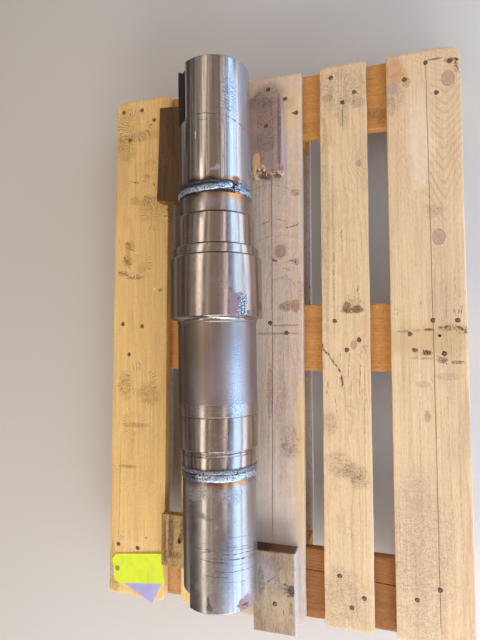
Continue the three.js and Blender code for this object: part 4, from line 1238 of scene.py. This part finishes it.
olive_chock = timber(
    "chock_wood_near_left", (rgb(188, 158, 106), rgb(126, 98, 58), rgb(60, 36, 26)), (210, 60), 14,
    ring_share=0.5, grime=0.9, streaks=0.6, flecks=0.8,
    spots=[(170, 150, 6, 50, rgb(84, 50, 32), 0.9, 0.6), (156, 140, 4, 50, rgb(92, 60, 38), 0.8, 0.6),
           (200, 176, 6, 20, SMUDGE, 0.8, 0.4), (184, 110, 14, 8, DARK_SCUFF, 0.8, 0.4),
           (192, 142, 4, 7, rgb(44, 28, 20), 1.0, 1.0), (196, 150, 5, 10, rgb(92, 52, 34), 0.8, 0.7),
           (160, 100, 6, 20, SMUDGE, 0.7, 0.3)])
pale_chock = timber(
    "chock_wood_near_right", (rgb(166, 146, 120), rgb(128, 106, 82), rgb(70, 56, 46)), (400, 20), 15,
    ring_share=0.45, grime=0.9, dust=(0.0, 0.35), streaks=0.4, flecks=0.8,
    spots=[(452, 79, 8, 12, BLACK_STAIN, 1.0, 0.75), (442, 79, 12, 14, SMUDGE, 0.5, 0.2),
           # These two spots are painted shade on the chock's far end face, which turns away from the light
           (410, 158, 70, 6, rgb(112, 72, 45), 1.0, 0.9), (378, 158, 30, 7, rgb(44, 30, 24), 0.8, 0.8),
           (396, 110, 20, 26, rgb(180, 172, 186), 0.6, 0.5), (376, 84, 4, 24, SMUDGE, 0.8, 0.6),
           (420, 130, 30, 14, rgb(120, 104, 100), 0.6, 0.3), (386, 90, 8, 30, rgb(84, 70, 64), 0.7, 0.4),
           (430, 40, 24, 30, rgb(206, 180, 140), 0.5, 0.5),
           # A painted highlight on the chock's right side face, where the daylight falls
           (462, 72, 5, 150, rgb(200, 188, 184), 1.0, 0.95), (450, 44, 4, 16, SMUDGE, 0.7, 0.3)],
    slashes=[(435, 91, 451, 86, 2.4, BLACK_STAIN, 1.0), (433, 84, 452, 80, 2.0, BLACK_STAIN, 1.0),
             (436, 76, 452, 75, 2.0, BLACK_STAIN, 1.0), (443, 67, 452, 71, 2.0, BLACK_STAIN, 1.0),
             (394, 84, 418, 106, 1.6, SMUDGE, 0.9), (404, 48, 412, 30, 0.9, SMUDGE, 0.7),
             (434, 44, 435, 30, 1.2, SMUDGE, 0.7), (425, 150, 424, 60, 0.9, GRAIN_LINE, 0.6)])


def axis_x(y):
    """Where the shaft's axis is across the pallet, at a place along it."""
    return SHAFT_NEAR_END[0] - math.tan(SHAFT_TURN) * (y - SHAFT_NEAR_END[1])


def beside(y, radius, top, side):
    """Where a barrel meets the top edge of a chock; side is -1 on its left and 1 on its right."""
    return axis_x(y) + side * (math.sqrt(radius ** 2 - (AXIS_HEIGHT - top) ** 2) + 0.4)


# Name, left and right edges at each end, outlines of both ends, top, finish, how deep the near end is torn
chocks = [
    ("far_left", (130, 135), tuple(beside(y, FAR_BARREL_RADIUS, 174, -1) for y in (907, 1146)),
     [(0, 926), (1, 907)], [(0, 1153), (1, 1146)], 174, dark_chock, 0),
    ("far_right", tuple(beside(y, FAR_BARREL_RADIUS, 166, 1) for y in (958, 1140)), (436, 431),
     [(0, 958), (0.1, 962), (0.18, 957), (0.3, 966), (0.38, 959), (0.5, 964), (0.62, 957), (0.74, 963),
      (0.88, 960), (1, 968)], [(0, 1140), (0.6, 1146), (1, 1145)], 166, grey_chock, 9),
    ("near_left", (148, 146.6), tuple(beside(y, NEAR_BARREL_RADIUS, 166, -1) for y in (83, 198)),
     [(0, 85), (1, 83)], [(0, 198), (1, 198)], 166, olive_chock, 0),
    ("near_right", tuple(beside(y, NEAR_BARREL_RADIUS, 182, 1) for y in (-10, 154.5)), (461, 459.5),
     [(0, -10), (1, -9)], [(0, 154.5), (1, 154.5)], 182, pale_chock, 0),
]
for index, (name, left, right, near_end, far_end, top, wood, torn) in enumerate(chocks):
    piece = plank(f"chock_{name}_sawn", left, right, near_end, far_end, DECK_TOP + SEAM, top, [wood],
                  41 + index, rows=60, columns=20, arris=1.8, wear=1.3, torn=torn)
    settle(piece, "chock_wood", f"chock_{name}")

# Nail heads, sunk in a collar of crushed and stained wood

nail_shader = Shader("nail_head_steel")
rust = nail_shader.noise(nail_shader.object, 900.0, 3.0, 0.6)
nail_colour = nail_shader.mix(nail_shader.step(rust, 0.4, 0.65), rgb(130, 104, 94), rgb(86, 58, 46))
nail_shader.surface(nail_colour, 0.6, rust, 0.0002, 0.5, Metallic=0.2)
collar_shader = Shader("nail_collar_wood")
crush = collar_shader.noise(collar_shader.object, 700.0, 3.0, 0.6)
collar_colour = collar_shader.mix(crush, rgb(46, 30, 22), rgb(116, 82, 58))
collar_shader.surface(collar_colour, 0.85, crush, 0.0004, 0.6)

# Where the nails are, and a nail's rings of (radius, height), from its middle out into the crushed wood
deck_nails = [
    (20, 1174), (71, 1172), (39, 1100), (105, 1143), (26, 636), (79, 630), (44, 561), (23, 107), (75, 104),
    (397, 1171), (436, 1143), (461, 1106), (399, 633), (436, 610), (539, 1174), (589, 1133), (563, 1114),
    (541, 635), (565, 573), (591, 594), (545, 106), (569, 46), (594, 68), (734, 1172), (780, 1167),
    (692, 1143), (754, 1105), (736, 633), (782, 632), (692, 606), (756, 566), (695, 81), (738, 106),
]
chock_nails = [(154, 1117, 174), (158, 1025, 174), (396, 1075, 166), (416, 49, 182)]
nail_rings = [(0.3, 0.5), (2.0, 0.45), (2.8, 0.1), (3.0, -0.2), (3.7, 0.35), (5.2, -0.3)]
NAIL_SIDES = 14
HEAD_BANDS = 2
nail_points = []
nail_faces = []
for index, (x, y, z) in enumerate([(x, y, DECK_TOP) for x, y in deck_nails] + chock_nails):
    for radius, lift in nail_rings:
        for step in range(NAIL_SIDES):
            angle = 2 * math.pi * step / NAIL_SIDES
            worn = 1 + 0.35 * noise.noise(Vector((math.cos(angle) * 1.3, math.sin(angle) * 1.3, index * 3.7)))
            nail_points.append(row(x + radius * worn * math.cos(angle), y + radius * worn * math.sin(angle),
                                   z + lift + 0.15))
    first = index * NAIL_SIDES * len(nail_rings)
    nail_faces.append(tuple(range(first, first + NAIL_SIDES)))
    nail_faces += band_faces(len(nail_rings), NAIL_SIDES, first)
nails = make_object("nail_heads", nail_points, nail_faces, [nail_shader.material, collar_shader.material])
for polygon in nails.data.polygons:
    ring = polygon.vertices[0] // NAIL_SIDES % len(nail_rings)
    polygon.material_index = 1 if len(polygon.vertices) == 4 and ring >= HEAD_BANDS else 0
    if polygon.normal.z < 0:
        polygon.flip()
settle(nails, "ground_steel")

# Torn fibre at the broken ends: thin wedges that stand out of the wood towards the pallet's near end

sliver_shader = Shader("torn_fibre_wood")
sliver_noise = sliver_shader.noise(sliver_shader.object, 160.0, 2.0, 0.6)
sliver_dark = sliver_shader.step(sliver_noise, 0.4, 0.6)
sliver_colour = sliver_shader.mix(sliver_dark, rgb(250, 220, 176), rgb(150, 108, 78))
sliver_shader.surface(sliver_colour, 0.8, sliver_noise, 0.0003, 0.5)

# Middle of the broken edge, half widths across and up, how many, longest
clumps = [
    ((374, 976, 166), 9, 1.4, 26, 20), ((386, 972, 166), 8, 1.4, 22, 14), ((414, 966, 165), 20, 2, 30, 8),
    ((463, 10, 136), 8, 6, 12, 10), ((14, 2, 134), 12, 7, 14, 7), ((520, 8, 137), 6, 6, 8, 7),
]
sliver_points = []
sliver_faces = []
picks = np.random.default_rng(8)
for (x, y, z), half_x, half_z, sliver_count, longest in clumps:
    for _ in range(sliver_count):
        base_x = x + picks.uniform(-half_x, half_x)
        base_z = z + picks.uniform(-half_z, half_z)
        length = longest * picks.uniform(0.4, 1.0)
        half_width = picks.uniform(0.5, 1.3)
        tip = row(base_x + picks.uniform(-2, 2), y - length, base_z + picks.uniform(-1, 3))
        first = len(sliver_points)
        sliver_points += [row(base_x - half_width, y + 3, base_z), row(base_x + half_width, y + 3, base_z),
                          row(base_x, y + 3, base_z + 1.4 * half_width), tip]
        sliver_faces += [(first, first + 1, first + 3), (first + 1, first + 2, first + 3),
                         (first + 2, first, first + 3), (first, first + 2, first + 1)]
slivers = make_object("torn_fibre", sliver_points, sliver_faces, [sliver_shader.material])
settle(slivers, "deck_wood")

# The shipping tag and the slip under it, both blank


def card(name, length, width, corner, thickness, place, turn, lift, material):
    """A thin card with its left corners cut, slightly curled, lying at a place on the deck."""
    across_steps = 16
    long_steps = 34
    grid = []
    for i in range(long_steps + 1):
        x = length * (i / long_steps - 0.5)
        half = width / 2 - max(0.0, corner - (x + length / 2))
        grid.append([(x, half * (2 * j / across_steps - 1)) for j in range(across_steps + 1)])
    points = []
    for level in (0, 1):
        for line in grid:
            for x, y in line:
                bend = lift(2 * x / length, 2 * y / width)
                points.append((x, y, bend + level * thickness))
    columns = across_steps + 1
    layer = columns * (long_steps + 1)
    faces = []
    for i in range(long_steps):
        for j in range(across_steps):
            a = i * columns + j
            faces.append((a, a + columns, a + columns + 1, a + 1))
            faces.append((layer + a, layer + a + 1, layer + a + columns + 1, layer + a + columns))
    rim = list(range(columns))
    rim += [i * columns + across_steps for i in range(1, long_steps + 1)]
    rim += [long_steps * columns + j for j in range(across_steps - 1, -1, -1)]
    rim += [i * columns for i in range(long_steps - 1, 0, -1)]
    for a, b in zip(rim, rim[1:] + rim[:1]):
        faces.append((a, b, layer + b, layer + a))
    made = make_object(name, [Vector(p) * MM for p in points], faces, [material])
    made.matrix_world = Matrix.Translation(place) @ Matrix.Rotation(math.radians(turn), 4, "Z")
    return made


def card_surface(name, colour, shade, worn):
    """Card or paper with faint clouds of a second shade. worn is how strongly its creases show."""
    shader = Shader(name)
    cloud = shader.noise(shader.object, 40.0, 4.0, 0.6)
    fibre = shader.noise(shader.object, 1400.0, 2.0, 0.6)
    crease = shader.noise(shader.stretch(shader.object, (60, 9, 60)), 1.0, 3.0, 0.5)
    mixed = shader.mix(shader.step(cloud, 0.4, 0.7), colour, shade)
    mixed = shader.mix(shader.times(shader.step(crease, 0.6, 0.75), worn), mixed, rgb(150, 140, 90))
    relief = shader.plus(shader.times(fibre, 0.4), crease)
    shader.surface(mixed, 0.6, relief, 0.0003, 0.4, Specular_IOR_Level=0.3)
    return shader.material


tag_material = card_surface("tag_card_stock", rgb(224, 242, 60), rgb(214, 232, 66), 0.2)
slip_material = card_surface("slip_paper_sheet", rgb(178, 177, 228), rgb(166, 166, 220), 0.1)
tag_place = row(77, 58.5, DECK_TOP + 1.1)
tag = card("tag_card_curled", length=133, width=67, corner=11, thickness=0.5, place=tag_place, turn=7.3,
           lift=lambda u, v: 1.2 * max(0, u) ** 2 + 0.5 * v * v + 0.3 * math.sin(3 * u),
           material=tag_material)
settle(tag, "tag_card", "tag_card")
SLIP_TURN = -25
slip_middle = Vector((-62, 26, 0)) * MM
slip_place = row(115, -16, DECK_TOP + 0.15) + Matrix.Rotation(math.radians(SLIP_TURN), 3, "Z") @ slip_middle
slip = card("slip_paper_curled", length=124, width=52, corner=0.0, thickness=0.2, place=slip_place,
            turn=SLIP_TURN, lift=lambda u, v: 0.35 + 0.15 * math.sin(4 * u + v), material=slip_material)
settle(slip, "slip_paper", "tag_slip")

# The tag's eyelet, as rings of (radius, height over the card)
EYELET_SIDES = 28
EYELET_MIDDLE = (22.6, 51.3)
eyelet_rings = [(1.6, -0.4), (1.7, 0.5), (2.6, 0.9), (5.2, 0.7), (5.6, 0.3)]
eyelet_points = []
for radius, lift in eyelet_rings:
    for step in range(EYELET_SIDES):
        angle = 2 * math.pi * step / EYELET_SIDES
        eyelet_points.append(row(EYELET_MIDDLE[0] + radius * math.cos(angle),
                                 EYELET_MIDDLE[1] + radius * math.sin(angle), DECK_TOP + 1.9 + lift))
eyelet_faces = band_faces(len(eyelet_rings), EYELET_SIDES)
eyelet_material = card_surface("tag_eyelet_fibre", rgb(168, 138, 60), rgb(120, 96, 50), 0.4)
eyelet = make_object("tag_eyelet", eyelet_points, eyelet_faces, [eyelet_material])
settle(eyelet, "tag_card")

# Floor, lights and camera: these aren't part of the object

floor_shader = Shader("studio_floor")
floor_shader.surface(rgb(206, 204, 200), 0.8, floor_shader.noise(floor_shader.object, 300.0), 0.0002, 0.3)
floor = make_object("studio_floor", [(-6, -6, -0.0005), (6, -6, -0.0005), (6, 6, -0.0005), (-6, 6, -0.0005)],
                    [(0, 1, 2, 3)], [floor_shader.material])

shaft_middle = row(axis_x(600), 600, AXIS_HEIGHT)


def soft_light(name, width, length, radiance, place):
    """A soft rectangular light at a place, facing along its own -Z."""
    data = bpy.data.lights.new(name, "AREA")
    data.shape = "RECTANGLE"
    data.size = width
    data.size_y = length
    peak = max(radiance)
    data.color = [c / peak for c in radiance]
    data.energy = 4 * width * length * peak
    lamp = bpy.data.objects.new(name, data)
    bpy.context.scene.collection.objects.link(lamp)
    lamp.matrix_world = place
    lamp.visible_camera = False


def long_light(name, angle, width, radiance, slope_from=-1.0, slope_to=1.0, distance=2.4, yaw=-10):
    """A long soft light beside the shaft.

    It has its angle from above, its apparent width and its turn from the pallet's length, in degrees, and the
    slopes towards the far end between which the shaft's middle sees it.
    """
    across = 2 * distance * math.tan(math.radians(width / 2))
    middle = distance * (slope_from + slope_to) / 2
    place = (Matrix.Translation(shaft_middle) @ Matrix.Rotation(math.radians(yaw), 4, "Z")
             @ Matrix.Rotation(math.radians(angle), 4, "Y") @ Matrix.Translation((0, middle, distance)))
    soft_light(name, across, distance * (slope_to - slope_from), radiance, place)


long_light("left_line", -60, 2.5, (0.5, 0.42, 0.36))
long_light("left_panel", -43, 13, (0.3, 0.26, 0.22))
long_light("cream_strip", -24, 13, (2.35, 2.12, 1.8), -1.3, 0.33)
long_light("cream_strip_far", -18, 7, (1.7, 1.48, 1.15), 0.33, 1.6)
long_light("cream_shelf_far", -26, 9, (0.55, 0.46, 0.36), 0.33, 1.6)
long_light("rust_line", -80, 5, (0.35, 0.16, 0.16), -1.0, 0.3)
long_light("faint_strip", -4, 4, (0.75, 0.62, 0.48), -1.0, 1.6)
long_light("overhead_panel", 10, 40, (0.27, 0.19, 0.16), -1.0, 1.8)
long_light("rose_strip", 40, 6, (1.9, 1.62, 1.5), -0.26, 1.6, yaw=-14)
long_light("rose_shelf", 33, 7, (0.5, 0.42, 0.4), -0.26, 1.6, yaw=-14)
long_light("sky_shade", 56, 10, (0.3, 0.42, 0.7), -1.0, 1.5)
long_light("sky_shade_near", 45, 30, (0.3, 0.45, 0.8), -1.0, -0.38)
long_light("sky_panel_high", 74, 24, (1.4, 2.0, 2.65), -1.0, 1.5)
long_light("sky_panel_low", 94, 10, (1.6, 1.65, 1.9), -1.0, 1.5, 1.3)
long_light("sky_panel_lowest", 103, 9, (1.0, 1.05, 1.35), -1.5, 2.0, 0.75)

LAMP_PLACE = Vector((0.6, -3.0, 1.6))
facing = (Vector((0, 0, 0.1)) - LAMP_PLACE).to_track_quat("-Z", "Y").to_matrix().to_4x4()
soft_light("near_end_panel", 3.0, 1.2, (6.9, 6.6, 6.3), Matrix.Translation(LAMP_PLACE) @ facing)

world = bpy.data.worlds.new("studio_grey")
world.use_nodes = True
world.node_tree.nodes["Background"].inputs["Color"].default_value = (0.1, 0.083, 0.07, 1)
bpy.context.scene.world = world
bpy.context.scene.view_settings.view_transform = "Standard"

CAMERA_PLACE = (641.25, 576.75, 1153.75)
CAMERA_TURN = Vector((3.438, 17.198, -0.502))
CAMERA_LENS = 26.148
SENSOR_HEIGHT = 36
camera_data = bpy.data.cameras.new("photo_camera")
camera_data.sensor_fit = "VERTICAL"
camera_data.sensor_height = SENSOR_HEIGHT
camera_data.lens = CAMERA_LENS
camera_data.clip_start = 0.01
camera = bpy.data.objects.new("photo_camera", camera_data)
bpy.context.scene.collection.objects.link(camera)
camera.location = row(*CAMERA_PLACE)
camera.rotation_mode = "QUATERNION"
camera.rotation_quaternion = Quaternion(CAMERA_TURN.normalized(), math.radians(CAMERA_TURN.length))
bpy.context.scene.camera = camera
